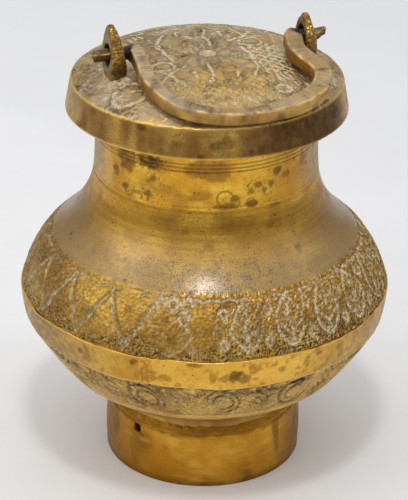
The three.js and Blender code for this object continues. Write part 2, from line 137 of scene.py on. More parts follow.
def noise(place, size, seed):
    """Smooth heights from -1 to 1: random values on a cubic lattice, blended across each cube."""
    cell = np.floor(place / size).astype(np.int64)
    t = place / size - cell
    t = t * t * (3 - 2 * t)
    values = np.random.default_rng(seed).uniform(-1, 1, LATTICE)
    total = np.zeros(place.shape[:-1])
    for corner in np.ndindex(2, 2, 2):
        share = np.where(np.array(corner) > 0, t, 1 - t).prod(axis=-1)
        total += values[scramble(cell + corner)] * share
    return total


def patchy(place, size, seed, low, high):
    """Soft patches from 0 to 1: noise, cut between a low and a high level."""
    return ease(noise(place, size, seed), low, high)


def scattered(place, size, seed):
    """Distance to the nearest of many points, one set at random in each cell of a lattice."""
    sides = place.shape[-1]
    cell = np.floor(place / size).astype(np.int64)
    inside = np.random.default_rng(seed).uniform(0.15, 0.85, (LATTICE, sides))
    nearest = np.full(place.shape[:-1], np.inf)
    for step in np.ndindex(*[3] * sides):
        cube = cell + np.array(step) - 1
        away = place - (cube + inside[scramble(cube)]) * size
        nearest = least(nearest, (away**2).sum(axis=-1))
    return np.sqrt(nearest)


def pricked(a, b, size, seed):
    """Punched dots: 1 inside each, 0 between them, their middles about a size apart."""
    away = scattered(np.stack(np.broadcast_arrays(a, b), axis=-1), size, seed)
    return ease(away, 0.48 * size, 0.22 * size)


print("noise at the origin:", round(float(noise(np.zeros((1, 3)), 1.0, 1)[0]), 3))

# %% Outlines with rounded corners
CORNER_STEPS = 2


def evenly(points, gap, trim):
    """The same line again with points a gap apart, and a length cut from each end."""
    points = np.array(points, float)
    run = np.r_[0, np.cumsum(np.hypot(*np.diff(points, axis=0).T))]
    start, end = trim[0], run[-1] - trim[1]
    at = np.linspace(start, end, max(2, int(round((end - start) / gap)) + 1))
    return np.column_stack([np.interp(at, run, points[:, 0]), np.interp(at, run, points[:, 1]), at])


def length_of(points):
    return np.hypot(*np.diff(np.array(points, float), axis=0).T).sum()


def walk(start, *steps):
    """Stretches for an outline: each step is a gap and an end, and a pull where it is curved."""
    stretches = []
    for gap, end, *pull in steps:
        stretches.append((curve(start, end, *pull) if pull else [start, end], gap))
        start = end
    return stretches


class Outline:
    """Stretches of (points, gap) joined end to end, anticlockwise in radius and height.

    Each corner is a quadratic curve that leaves its stretch `soft` before the corner and meets
    the next one as far after it. An open outline starts and ends on the axis."""

    def __init__(self, stretches, soft=0.3, closed=True):
        self.closed = closed
        count = len(stretches)
        cuts = [min(soft, 0.35 * length_of(points)) for points, _ in stretches]
        rows = []
        for i, (points, gap) in enumerate(stretches):
            first, last = closed or i > 0, closed or i < count - 1
            line = evenly(points, gap, (cuts[i] * first, cuts[i] * last))
            rows.append(np.column_stack([line, np.full(len(line), i)]))
            if last:
                following = stretches[(i + 1) % count]
                after = evenly(*following, (cuts[(i + 1) % count], 0))[0, :2]
                rows.append(self.corner(line[-1], np.array(points[-1], float), after, i))
        table = np.vstack(rows)
        self.r, self.z, self.run, self.stretch = table.T
        self.out, self.up = self.normals()

    @staticmethod
    def corner(before, tip, after, number):
        t = np.linspace(0, 1, CORNER_STEPS + 2)[1:-1, None]
        bend = before[:2] * (1 - t) ** 2 + 2 * tip * t * (1 - t) + after * t * t
        rest = np.column_stack([np.full(CORNER_STEPS, before[2]), np.full(CORNER_STEPS, number)])
        return np.column_stack([bend, rest])

    def normals(self):
        if self.closed:
            dr, dz = (np.roll(v, -1) - np.roll(v, 1) for v in (self.r, self.z))
        else:
            dr, dz = np.gradient(self.r), np.gradient(self.z)
        size = np.hypot(dr, dz)
        return dz / size, -dr / size


square = Outline(walk((1, 0), (0.5, (2, 0)), (0.5, (2, 1)), (0.5, (1, 1)), (0.5, (1, 0))))
print("as an example, a square ring's outline has", len(square.r), "points")

# %% Meshes
# Besides real marks, cut, stain and brown also hold painted shade in places, film holds painted reflection
# and shade at the sides, and worn holds some painted glints.
MASKS = ("cut", "chalk", "stain", "worn", "punch", "film", "brown", "gloss")


def skin(name, points, masks, closed=True):
    """A closed mesh from a grid of points in millimetres, whose columns join all the way round.

    The rows join round too where closed, and otherwise the first and last row are drawn
    together to a pole. The volume's sign tells whether the faces point out. A mask that isn't
    given is 0 all over."""
    rows, columns = points.shape[:2]
    index = np.arange(rows * columns).reshape(rows, columns)
    if not closed:
        for pole in (0, -1):
            points[pole] = points[pole].mean(axis=0)
            index[pole] = index[pole, 0]
    a, b = index, np.roll(index, -1, axis=1)
    d, c = np.roll(a, -1, axis=0), np.roll(b, -1, axis=0)
    if not closed:
        a, b, c, d = a[:-1], b[:-1], c[:-1], d[:-1]
    faces = np.concatenate([np.stack([a, b, c], -1), np.stack([a, c, d], -1)]).reshape(-1, 3)
    same = (faces == np.roll(faces, 1, axis=1)).any(axis=1)
    used, faces = np.unique(faces[~same], return_inverse=True)
    faces = faces.reshape(-1, 3)
    places = points.reshape(-1, 3)[used]
    p, q, r = np.moveaxis(places[faces], 1, 0)
    if (p * np.cross(q, r)).sum() < 0:
        faces = faces[:, ::-1]
    mesh = bpy.data.meshes.new(name)
    mesh.from_pydata(places * MM, [], faces)
    mesh.polygons.foreach_set("use_smooth", np.ones(len(faces), bool))
    for label in MASKS:
        values = masks.get(label, 0) + np.zeros((rows, columns))
        attribute = mesh.attributes.new(label, "FLOAT", "POINT")
        attribute.data.foreach_set("value", values.reshape(-1)[used].astype(np.float32))
    piece = bpy.data.objects.new(name, mesh)
    bpy.context.scene.collection.objects.link(piece)
    return piece


def on(outline, *stretches):
    """1 on the given stretches of an outline, and 0 elsewhere."""
    return np.isin(outline.stretch, stretches)[:, None] * 1.0


def lathe(name, outline, columns, relief):
    """Carries an outline round Z, then pushes each point out along its normal by the relief.

    The relief gets the points before it moves them, the angle of each column and the outline,
    and gives the push and the rise in millimetres and the masks of the surface."""
    angle = np.arange(columns) / columns * TURN
    flat = angle * 0
    r, z = outline.r[:, None], outline.z[:, None]
    spot = np.stack([r * np.cos(angle), r * np.sin(angle), z + flat], axis=-1)
    push, rise, masks = relief(spot, angle + r * 0, outline)
    radius = r + outline.out[:, None] * push
    height = z + outline.up[:, None] * push + rise
    points = np.stack([radius * np.cos(angle), radius * np.sin(angle), height], axis=-1)
    return skin(name, points, masks, outline.closed)


print("masks on every mesh:", ", ".join(MASKS))

# %% [markdown]
# ## Tools for finishes
#
# Old brass is one metal with many skins: bright where hands rub it, brown where it has
# tarnished, nearly black in punched dots, and chalky where old polish has dried in the lines.
# Some pieces also use these skins for painted light: painted shade in the dark, brown and
# stained ones, painted reflection in the grey film at the sides, and painted glints in the bright one.
# Shared effects are node groups, so each finish below only gives them its own values.

# %% A bench for shader nodes
def paint(red, green, blue):
    """A colour given as it looks on a screen, from 0 to 255, in the linear values of a shader."""
    seen = np.array([red, green, blue]) / 255
    linear = np.where(seen <= 0.04045, seen / 12.92, ((seen + 0.055) / 1.055) ** 2.4)
    return (*linear.tolist(), 1.0)


class Bench:
    """Puts nodes into one tree, and wires each one as it is made.

    Every sum is a node too: times, plus, minus, over and most each give its output."""

    def __init__(self, tree):
        self.tree = tree

    def put(self, kind, inputs=None, **settings):
        node = self.tree.nodes.new("ShaderNode" + kind)
        for key, value in settings.items():
            setattr(node, key, value)
        for key, value in (inputs or {}).items():
            self.feed(node.inputs[key], value)
        return node

    def feed(self, socket, value):
        if isinstance(value, bpy.types.NodeSocket):
            self.tree.links.new(value, socket)
        else:
            socket.default_value = value

    def math(self, operation, *values):
        return self.put("Math", dict(enumerate(values)), operation=operation).outputs[0]

    def times(self, first, second):
        return self.math("MULTIPLY", first, second)

    def plus(self, first, second):
        return self.math("ADD", first, second)

    def minus(self, first, second):
        return self.math("SUBTRACT", first, second)

    def over(self, first, second):
        return self.math("DIVIDE", first, second)

    def most(self, first, second):
        return self.math("MAXIMUM", first, second)

    def mix(self, share, first, second):
        return self.put("Mix", {0: share, 6: first, 7: second}, data_type="RGBA").outputs[2]

    def ramp(self, value, low, high):
        inputs = {"Value": value, "From Min": low, "From Max": high}
        return self.put("MapRange", inputs, interpolation_type="SMOOTHSTEP").outputs[0]

    def noise(self, vector, scale, seed=0.0, detail=4.0):
        inputs = {"Vector": vector, "W": seed, "Scale": scale, "Detail": detail, "Roughness": 0.6}
        return self.put("TexNoise", inputs, noise_dimensions="4D").outputs[0]

    def mask(self, label):
        return self.put("Attribute", attribute_name=label).outputs["Fac"]

    def group(self, tree, inputs):
        return self.put("Group", inputs, node_tree=tree).outputs[0]


def new_material(name):
    """A material with nodes, its bench and the inputs of its shader."""
    material = bpy.data.materials.new(name)
    material.use_nodes = True
    shader = material.node_tree.nodes["Principled BSDF"]
    return material, Bench(material.node_tree), shader.inputs


def new_group(name, inputs, output):
    """An empty node group with number sockets, its bench, its inputs and its output socket."""
    tree = bpy.data.node_groups.new(name, "ShaderNodeTree")
    for label, value in inputs.items():
        socket = tree.interface.new_socket(label, in_out="INPUT", socket_type="NodeSocketFloat")
        socket.default_value = value
    tree.interface.new_socket(output, in_out="OUTPUT", socket_type="NodeSocketFloat")
    given = tree.nodes.new("NodeGroupInput").outputs
    wanted = tree.nodes.new("NodeGroupOutput").inputs[0]
    return tree, Bench(tree), given, wanted


print("a screen grey of 128 is", round(paint(128, 128, 128)[0], 3), "in a shader")

# %% Shared effects
def patches_group():
    """Cloudy patches: noise in space, cut between a low and a high level."""
    inputs = {"Size": 0.01, "Low": 0.4, "High": 0.6, "Seed": 0.0}
    tree, bench, given, wanted = new_group("patches", inputs, "Mask")
    place = bench.put("TexCoord").outputs["Object"]
    cloud = bench.noise(place, bench.over(1, given["Size"]), given["Seed"], 6.0)
    bench.feed(wanted, bench.ramp(cloud, given["Low"], given["High"]))
    return tree


def turning_group():
    """Lathe lines: noise of radius and height alone, which drifts slowly round the piece."""
    tree, bench, given, wanted = new_group("turning lines", {"Gap": 0.0003}, "Height")
    place = bench.put("TexCoord").outputs["Object"]
    parts = bench.put("SeparateXYZ", {0: place}).outputs
    squares = [bench.math("POWER", parts[k], 2) for k in (0, 1)]
    radius = bench.math("SQRT", bench.plus(*squares))
    fine = [bench.over(value, given["Gap"]) for value in (radius, parts[2])]
    slow = bench.times(given["Gap"], 40)
    drift = bench.over(bench.plus(parts[0], parts[1]), slow)
    along = bench.put("CombineXYZ", {0: fine[0], 1: fine[1], 2: drift}).outputs[0]
    bench.feed(wanted, bench.noise(along, 1.0))
    return tree


def specks_group():
    """Small round marks: the middles of a cell pattern, where a coarse noise lets them be."""
    tree, bench, given, wanted = new_group("specks", {"Size": 0.0017, "Share": 0.5, "Seed": 0.0}, "Mask")
    place = bench.put("TexCoord").outputs["Object"]
    moved = bench.put("VectorMath", {0: place, 1: given["Seed"]}, operation="ADD").outputs[0]
    inputs = {"Vector": moved, "Scale": bench.over(1, given["Size"])}
    cells = bench.put("TexVoronoi", inputs).outputs["Distance"]
    cloud = bench.noise(place, 400, given["Seed"], 2.0)
    near = bench.minus(1, bench.ramp(cells, 0.18, 0.34))
    least = bench.minus(1, given["Share"])
    allowed = bench.ramp(cloud, bench.minus(least, 0.06), bench.plus(least, 0.06))
    bench.feed(wanted, bench.times(near, allowed))
    return tree


PATCHES, TURNING, SPECKS = patches_group(), turning_group(), specks_group()
print("shared effects:", [tree.name for tree in (PATCHES, TURNING, SPECKS)])

# %% Brass
GRIME = paint(38, 28, 16)
CHALK = paint(216, 200, 164)
STAIN = paint(84, 56, 28)
SHINE = paint(248, 206, 112)
COAT_ROUGHNESS, COAT_INDEX = 0.27, 1.8
FINE = {
    "rough": 0.3, "rings": 0.4, "specks": 0.4, "patch": 0.012, "dull": 0.5, "coat": 0.0,
    "grain": 0.2, "grit": 0.3, "brush": 0.4, "gap": 0.0003,
}


def brass(name, bright, deep, tarnish, film=paint(164, 148, 118), seed=0.0, **changes):
    """One brass finish.

    bright and deep are the metal's own tones, tarnish its brown skin and film its grey one. Where
    a piece paints shade or reflection into its masks, the tarnish and film colours give it too."""
    own = {**FINE, **changes}
    material, bench, shader = new_material(name)
    cut, chalk, stain, worn, punch, grey, brown, gloss = (bench.mask(label) for label in MASKS)

    def cloud(size, low, high, number):
        values = {"Size": size, "Low": low, "High": high, "Seed": seed + number}
        return bench.group(PATCHES, values)

    def share(value, full, none=0.0):
        return bench.math("MULTIPLY_ADD", value, full - none, none)

    def dots(size, allowed, number):
        return bench.group(SPECKS, {"Size": size, "Share": allowed, "Seed": seed + number})

    lines = bench.group(TURNING, {"Gap": own["gap"]})
    mottle = cloud(0.0014, 0.3, 0.7, 3)
    grain = cloud(0.0004, 0.3, 0.7, 4)
    tone = bench.mix(cloud(own["patch"], 0.36, 0.64, 1), deep, bright)
    tone = bench.mix(share(bench.ramp(lines, 0.4, 0.7), own["brush"]), tone, deep)
    low = 0.7 - 0.4 * own["dull"]
    skin_share = bench.times(cloud(0.016, low, low + 0.22, 2), share(mottle, 0.95, 0.45))
    skin_share = bench.most(skin_share, bench.times(brown, share(mottle, 1.0, 0.7)))
    skin_share = bench.times(skin_share, bench.minus(1, worn))
    tone = bench.mix(skin_share, tone, tarnish)
    tone = bench.mix(share(grain, own["grit"]), tone, tarnish)
    grey = bench.times(grey, share(mottle, 1.0, 0.45))
    tone = bench.mix(grey, tone, film)
    spots = bench.times(stain, share(mottle, 1.0, 0.7))
    spots = bench.most(spots, share(dots(0.0021, own["specks"] - 0.12, 5), 0.75))
    spots = bench.most(spots, share(dots(0.0008, own["specks"], 9), 0.5))
    tone = bench.mix(spots, tone, STAIN)
    holes = bench.most(dots(0.0006, 0.6, 6), share(dots(0.00042, 0.6, 7), 0.9))
    holes = bench.times(holes, punch)
    dirt = bench.most(bench.times(cut, share(mottle, 1.0, 0.6)), holes)
    tone = bench.mix(dirt, tone, GRIME)
    residue = bench.times(chalk, share(cloud(0.0005, 0.4, 0.58, 8), 1.0, 0.15))
    tone = bench.mix(residue, tone, CHALK)
    tone = bench.mix(share(worn, 0.85), tone, SHINE)
    cover = bench.most(share(dirt, 0.6), share(residue, 0.95))
    cover = bench.most(cover, share(grey, 0.45))
    bench.feed(shader["Base Color"], tone)
    bench.feed(shader["Metallic"], bench.minus(1, cover))
    fuzz = bench.plus(share(bench.most(skin_share, spots), 0.12), share(mottle, 0.06))
    rough = bench.plus(bench.plus(fuzz, own["rough"]), share(cover, 0.3))
    bench.feed(shader["Roughness"], bench.minus(rough, share(worn, 0.1)))
    if own["coat"]:
        pitted = bench.times(bench.minus(1, holes), share(grain, 1.0, 0.3))
        bench.feed(shader["Coat Weight"], bench.times(share(gloss, own["coat"]), pitted))
    shader["Coat IOR"].default_value = COAT_INDEX
    shader["Coat Roughness"].default_value = COAT_ROUGHNESS
    heights = bench.plus(share(lines, own["rings"]), share(mottle, own["grain"]))
    heights = bench.plus(heights, share(grain, own["grain"]))
    heights = bench.minus(heights, bench.most(share(spots, 0.3), holes))
    bump = bench.put("Bump", {"Strength": 0.4, "Distance": 0.0001, "Height": heights})
    bench.feed(shader["Normal"], bump.outputs[0])
    return material


print("values that a finish may change:", ", ".join(FINE))

# %% The finishes
BELT_BRASS = brass("polished brass", paint(248, 204, 92), paint(226, 172, 68), paint(160, 106, 40),
                   film=paint(140, 110, 66), rough=0.27, dull=0.45)
NECK_BRASS = brass("turned brass", paint(250, 208, 80), paint(214, 154, 48), paint(154, 108, 44), seed=5.0,
                   film=paint(150, 132, 102), rough=0.26, rings=0.8, patch=0.007, dull=0.45,
                   specks=0.45)
SHELL_BRASS = brass("aged brass", paint(234, 186, 72), paint(192, 138, 46), paint(144, 106, 48), seed=9.0,
                    film=paint(152, 126, 70), rough=0.36, rings=1.2, patch=0.015, coat=1.0, grit=0.5,
                    brush=0.85, gap=0.0006, specks=0.47)
CHASED_BRASS = brass("chased brass", paint(250, 210, 112), paint(214, 166, 84), paint(140, 102, 56),
                     film=paint(140, 130, 116), seed=13.0, rough=0.38, rings=0.1, grit=0.4)
FOOT_BRASS = brass("foot brass", paint(216, 162, 58), paint(186, 130, 38), paint(144, 100, 30), seed=17.0,
                   rough=0.32, rings=0.7, dull=0.5)
LID_BRASS = brass("greyed brass", paint(224, 186, 96), paint(176, 134, 72), paint(134, 94, 48), seed=25.0,
                  film=paint(194, 178, 150), rough=0.4, rings=0.2, grain=0.6, grit=0.6)
BAIL_BRASS = brass("forged brass", paint(226, 182, 94), paint(184, 140, 72), paint(128, 94, 50), seed=29.0,
                   film=paint(188, 174, 152), rough=0.4, rings=0.1, grain=0.5, grit=0.4)
LUG_BRASS = brass("filed brass", paint(206, 160, 78), paint(150, 110, 56), paint(96, 72, 44), seed=33.0,
                  film=paint(122, 110, 88), rough=0.36, rings=0.1, grain=0.6, grit=0.5)
print("finishes:", [material.name for material in bpy.data.materials])

# %% Putting a piece in its place
BODY_OF = {node: body for body, nodes in frame["record"]["behaviour"]["bodies"].items() for node in nodes}


def stand_for(piece, node, material):
    """The piece takes the place, the body and the material slot of a node of the frame."""
    piece.data.materials.append(material)
    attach(piece, BODY_OF[node])
    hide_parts(node)
    print(piece.name, "has", len(piece.data.polygons), "faces and rides on", BODY_OF[node])


print("nodes to stand for:", len(BODY_OF))

# %% [markdown]
# ## Foot ring and solder
#
# The foot is a short turned tube, a little waisted, with a pinhole left by the casting. Its join
# to the bowl is a ragged fillet of solder.

# %% Foot ring
# The side of the pot that the photograph shows, in degrees about Z.
FRONT = -107.9
FOOT_BORE, FOOT_EDGE, FOOT_TOP_RADIUS = 18.7, 21.0, 20.7
FOOT_LAND, FOOT_HEIGHT = 0.8, 12.7
PINHOLE = (-150.4, 11.0, 1.15)


def around(angle, degrees):
    """The turn from an angle in degrees, from -pi to pi."""
    return (angle - np.radians(degrees) + np.pi) % TURN - np.pi


def foot_relief(spot, angle, outline):
    """Slow dents, a darker edge at the floor, one deep pit with a dark trail below it, and painted shade
    under the bowl and on the sides.
    """
    outside = (outline.out > 0.5)[:, None]
    z = spot[..., 2]
    degrees, height, radius = PINHOLE
    aside, above = around(angle, degrees) * FOOT_TOP_RADIUS, z - height
    away = np.hypot(aside, above)
    trail = ease(np.abs(above + 0.75 * aside + 0.3 * noise(spot, 1.2, 9)), 0.5, 0.15)
    trail = trail * ease(aside, 0.2, 0.9) * ease(aside, 2.7, 1.7)
    hole = ease(away + 0.15 * noise(spot, 0.8, 6), radius, 0.55 * radius) * outside
    push = (0.1 * noise(spot, 9, 1) + 0.04 * noise(spot, 2.2, 2)) * ease(z, 0, 1) - 1.5 * hole
    low = ease(z, 2.2, 0.2) * outside
    # Painted shade: the sides turned away from the front get browner and darker.
    flank = ease(np.abs(around(angle, FRONT)), 0.7, 1.3) * outside
    # Painted shade under the bowl's edge: the top of the foot gets browner and darker, with a ragged edge.
    under = ease(z + 0.7 * noise(spot, 1.5, 4), 11.3, 12.6) * outside
    blots = patchy(spot * (1, 1, 0.4), 3.5, 5, 0.25, 0.8) * outside
    wiped = patchy(spot * (0.4, 0.4, 2.2), 1.6, 7, 0.1, 0.8) * patchy(spot, 5, 8, -0.4, 0.4) * (1 - flank)
    marks = 0.35 * under + 0.3 * blots + 0.25 * low + 0.15 * flank
    masks = {
        "cut": hole * 2,
        "worn": wiped * 0.3 * outside,
        "brown": most(under * 0.6, blots * 0.8, low * 0.8, flank * 0.8),
        "stain": marks + 0.6 * trail * outside,
    }
    return push * outside, push * 0, masks


foot_outline = Outline(walk(
    (FOOT_BORE, 0),
    (0.6, (FOOT_EDGE, 0)),
    (0.2, (FOOT_EDGE, FOOT_LAND)),
    (0.25, (FOOT_TOP_RADIUS, FOOT_HEIGHT - 1.1), (-1.0, 0.5)),
    (0.15, (FOOT_TOP_RADIUS - 0.8, FOOT_HEIGHT), (0, 1)),
    (0.6, (FOOT_BORE, FOOT_HEIGHT)),
    (2.0, (FOOT_BORE, 0)),
), soft=0.25)
stand_for(lathe("foot", foot_outline, 720, foot_relief), "foot_ring", FOOT_BRASS)

# %% Solder
SOLDER = [(19.3, 12.4), (20.5, 12.4), (20.3, 13.1), (19.5, 14.5)]


def solder_relief(spot, angle, outline):
    """Lumps where the solder ran and set."""
    lumps = 0.1 * noise(spot, 1.3, 11) + 0.06 * noise(spot, 0.6, 12)
    ragged = 0.2 * noise(spot, 1.3, 13) + 0.08 * noise(spot, 0.5, 14)
    masks = {
        "brown": 0.7,
        "stain": 0.15 + ease(lumps, 0.0, -0.15) * 0.4,
        "worn": ease(lumps, 0.12, 0.2) * 0.4,
    }
    return lumps, ragged, masks


after = SOLDER[1:] + SOLDER[:1]
solder_outline = Outline(walk(SOLDER[0], *((0.2, corner) for corner in after)), soft=0.2)
stand_for(lathe("solder_fillet", solder_outline, 900, solder_relief), "foot_solder", FOOT_BRASS)

# %% [markdown]
# ## Bowl and its lower band
#
# The lower shell opens from a hollow collar, over a flat underside with a crisp edge, into a
# band chased with pairs of ovals on a stippled ground. Collar and underside are darkened with painted
# shade.

# %% Chased lines
def stroke(a, b, start, end):
    """Distance from points (a, b) to the straight line between two points."""
    run = np.subtract(end, start)
    share = np.clip(((a - start[0]) * run[0] + (b - start[1]) * run[1]) / (run @ run), 0, 1)
    return np.hypot(a - start[0] - share * run[0], b - start[1] - share * run[1])


def oval(a, b, width, height):
    """Distance to an oval's line: how far the point lies from 1 in shares of its half sizes."""
    share = np.hypot(a / width, b / height)
    return np.abs(share - 1) * min(width, height)


def leaf(a, b, width, height):
    """Distance to a pointed oval, whose half width is width times 1 - (b / height)^2."""
    edge = width * (1 - (b / height) ** 2)
    slope = 2 * width * b / height**2
    return np.abs(np.abs(a) - edge) / np.sqrt(1 + slope**2) + most(np.abs(b) - height, 0)


def groove(distance, width):
    """A rounded cut: 1 in the middle of the line, and 0 past its width."""
    return 1 - ease(distance, 0.15 * width, width)


def repeat(a, pitch, offset=0.0):
    """Places along a band counted from the middle of each repeat."""
    return (a - offset + pitch / 2) % pitch - pitch / 2


print("a point on an oval's line lies", float(oval(2.0, 0.0, 2.0, 1.0)), "mm from it")

# %% Bowl sizes
WALL = 1.5
BOWL_FLOOR, COLLAR_FOOT, COLLAR_TOP = (18.4, 11.2), (19.8, 13.0), (20.6, 16.6)
EDGE, BAND_TOP = (29.8, 21.8), (38.0, 33.75)
RIM, RIM_TOP = 37.1, 36.75
LOWER_RADIUS, LOWER_PAIRS, LOWER_START = 34, 14, -127.0
LOWER_PITCH = TURN * LOWER_RADIUS / LOWER_PAIRS
DOT_GAP = 0.56


def inner_side(outer, gap, limit):
    """The wall's inner side: the outer line moved in by the wall, run the other way."""
    outer = np.array(outer)
    along = np.gradient(outer, axis=0)
    along /= np.hypot(*along.T)[:, None]
    moved = outer + np.column_stack([-along[:, 1], along[:, 0]]) * WALL
    moved[:, 0] = least(moved[:, 0], limit)
    return moved[::-1], gap


print("ovals:", LOWER_PAIRS, "pairs,", round(LOWER_PITCH, 1), "mm apart")

# %% Bowl
BOWL_COLLAR, BOWL_UNDER, BOWL_BAND = 3, 4, 5


def bowl_relief(spot, angle, outline):
    """Pairs of ovals, slanting veins between them and a stippled ground, below the belt.

    Painted shade darkens the band's top under the belt, and the collar and underside.
    """
    band, under = on(outline, BOWL_BAND), on(outline, BOWL_COLLAR, BOWL_UNDER)
    b = outline.run[:, None]
    a = around(angle, LOWER_START) * LOWER_RADIUS + 0.3 * noise(spot, 2.5, 21)
    here = repeat(a, LOWER_PITCH)
    middle = b - 8.0 + 0.3 * here
    ovals = least(oval(here, middle, 3.5, 4.8), oval(here - 0.2, middle, 2.0, 3.0))
    between = repeat(a, LOWER_PITCH, LOWER_PITCH / 2)
    veins = np.where(np.abs(between) < 1.7, np.abs((b + 1.4 * between) % 2.4 - 1.2) + 0.1, 9)
    lines = least(ovals, veins, np.abs(b - 1.9 + 0.2 * noise(spot, 2, 22)))
    toothed = 1 + 0.5 * noise(spot, 0.5, 23) + 0.2 * noise(spot, 1.5, 20)
    cut = groove(lines, 0.62 * toothed) * ease(b, 0.8, 2.0) * patchy(spot, 4, 24, -0.9, -0.2) * band
    cut = cut * (0.35 + 0.65 * patchy(spot, 7, 14, -0.2, 0.3))
    ground = band * ease(b, 1.0, 3.0) * (0.6 + 0.4 * patchy(spot, 3, 25, -0.4, 0.4))
    dots = pricked(a, b, DOT_GAP, 31) * ground
    lumps = 0.08 * noise(spot, 0.7, 30) * ground + 0.06 * noise(spot, 1.6, 19) * band
    push = -0.26 * cut - 0.14 * dots + lumps + 0.08 * noise(spot, 11, 26) * (outline.out[:, None] > 0)
    edge = np.exp(-(((spot[..., 2] - EDGE[1]) / 0.4) ** 2)) * (outline.out[:, None] > 0.1)
    # Painted shade under the belt's lower edge, at the top of the band.
    shade_under_belt = band * ease(b, 10.0, 12.5) * patchy(spot, 1.4, 15, -0.3, 0.4)
    rubbed = band * (1 - cut) * patchy(spot, 0.6, 18, 0.1, 0.7)
    # Painted shade on the collar and underside, under the bowl's edge: streaky in the stain, patchy in the
    # brown.
    streaky_shade_under = under * (0.3 + 0.3 * noise(spot * (1, 1, 0.3), 2.5, 13))
    masks = {
        "punch": ground * 0.6,
        "cut": cut * 0.7 + 0.85 * dots + 0.6 * shade_under_belt,
        "chalk": cut * patchy(spot, 3, 27, 0.1, 0.8) * 0.4,
        "worn": edge * patchy(spot, 2.5, 28, -0.8, 0.2) + rubbed * 0.6,
        "stain": band * patchy(spot, 3, 29, 0.25, 0.8) * 0.5 + streaky_shade_under,
        "film": band * patchy(spot, 2.4, 17, 0.1, 0.7) * 0.4,
        "brown": under * (0.4 + 0.5 * patchy(spot, 4, 16, -0.3, 0.6)),
    }
    return push, push * 0, masks


collar = curve(COLLAR_FOOT, COLLAR_TOP, (-0.3, 0.6))
underside = curve(COLLAR_TOP, EDGE, (0.5, 0.32))
lower_band = curve(EDGE, BAND_TOP, (0.63, 0.53))
inside = inner_side(np.vstack([collar, underside[1:], lower_band[1:]]), 5.0, RIM - WALL)
bowl_outline = Outline([
    *walk(
        (0, BOWL_FLOOR[1]),
        (6.0, BOWL_FLOOR),
        (0.6, (BOWL_FLOOR[0], COLLAR_FOOT[1])),
        (0.6, COLLAR_FOOT),
    ),
    (collar, 0.7),
    (underside, 0.9),
    (lower_band, 0.3),
    *walk(
        BAND_TOP,
        (0.4, (RIM, BAND_TOP[1])),
        (1.0, (RIM, RIM_TOP)),
        (0.8, (RIM - WALL, RIM_TOP)),
        (1.5, inside[0][0]),
    ),
    inside,
    ([inside[0][-1], (0, BOWL_FLOOR[1] + WALL)], 6.0),
], soft=0.3, closed=False)
stand_for(lathe("bowl_shell", bowl_outline, 860, bowl_relief), "bowl", CHASED_BRASS)

# %% [markdown]
# ## Belt
#
# A smooth band is soldered over the seam at the belly. Its edges run a little wavy, they are
# rubbed bright, and its two ends overlap in a small step.

# %% Belt
BELT_INSIDE, BELT_LOW, BELT_HIGH = 37.4, (38.2, 33.6), (39.15, 40.2)
BELT_SEAM = -126.5
BELT_MARKS = [
    (-98.5, 36.6, 1.5, 1.2, 0.9), (-101.5, 36.2, 1.3, 0.6, 0.6), (-95.5, 36.0, 1.0, 0.9, 0.7),
    (-129, 38.7, 0.9, 0.8, 0.8), (-110.5, 39.6, 1.6, 0.5, 0.7), (-119, 36.2, 1.2, 0.8, 0.5),
    (-148, 37.5, 0.7, 0.5, 0.6), (-71, 38.6, 0.8, 0.5, 0.7), (-84, 37.0, 0.8, 0.6, 0.5),
    (-30, 37, 1.5, 0.9, 0.7), (20, 36, 2.0, 0.8, 0.6), (75, 38, 1.2, 0.7, 0.8), (130, 36.5, 1.8, 1.0, 0.6),
]


def marks_on(spot, angle, radius, marks, ragged=0.15):
    """Round dark marks, each given by its angle, height, half width, half height and strength."""
    total = np.zeros(angle.shape)
    uneven = ragged * (noise(spot, 1.1, 31) + noise(spot, 0.5, 34))
    for degrees, height, wide, high, strength in marks:
        share = np.hypot(around(angle, degrees) * radius / wide, (spot[..., 2] - height) / high)
        total = most(total, strength * (1 - ease(share + uneven, 0.75, 1.05 + ragged)))
    return total


def ring_mark(spot, angle, radius, degrees, height, size):
    """A drying ring: a thin dark line round a clean middle."""
    away = np.hypot(around(angle, degrees) * radius, spot[..., 2] - height)
    return groove(np.abs(away + 0.12 * noise(spot, 1.8, 52) - size), 0.32)


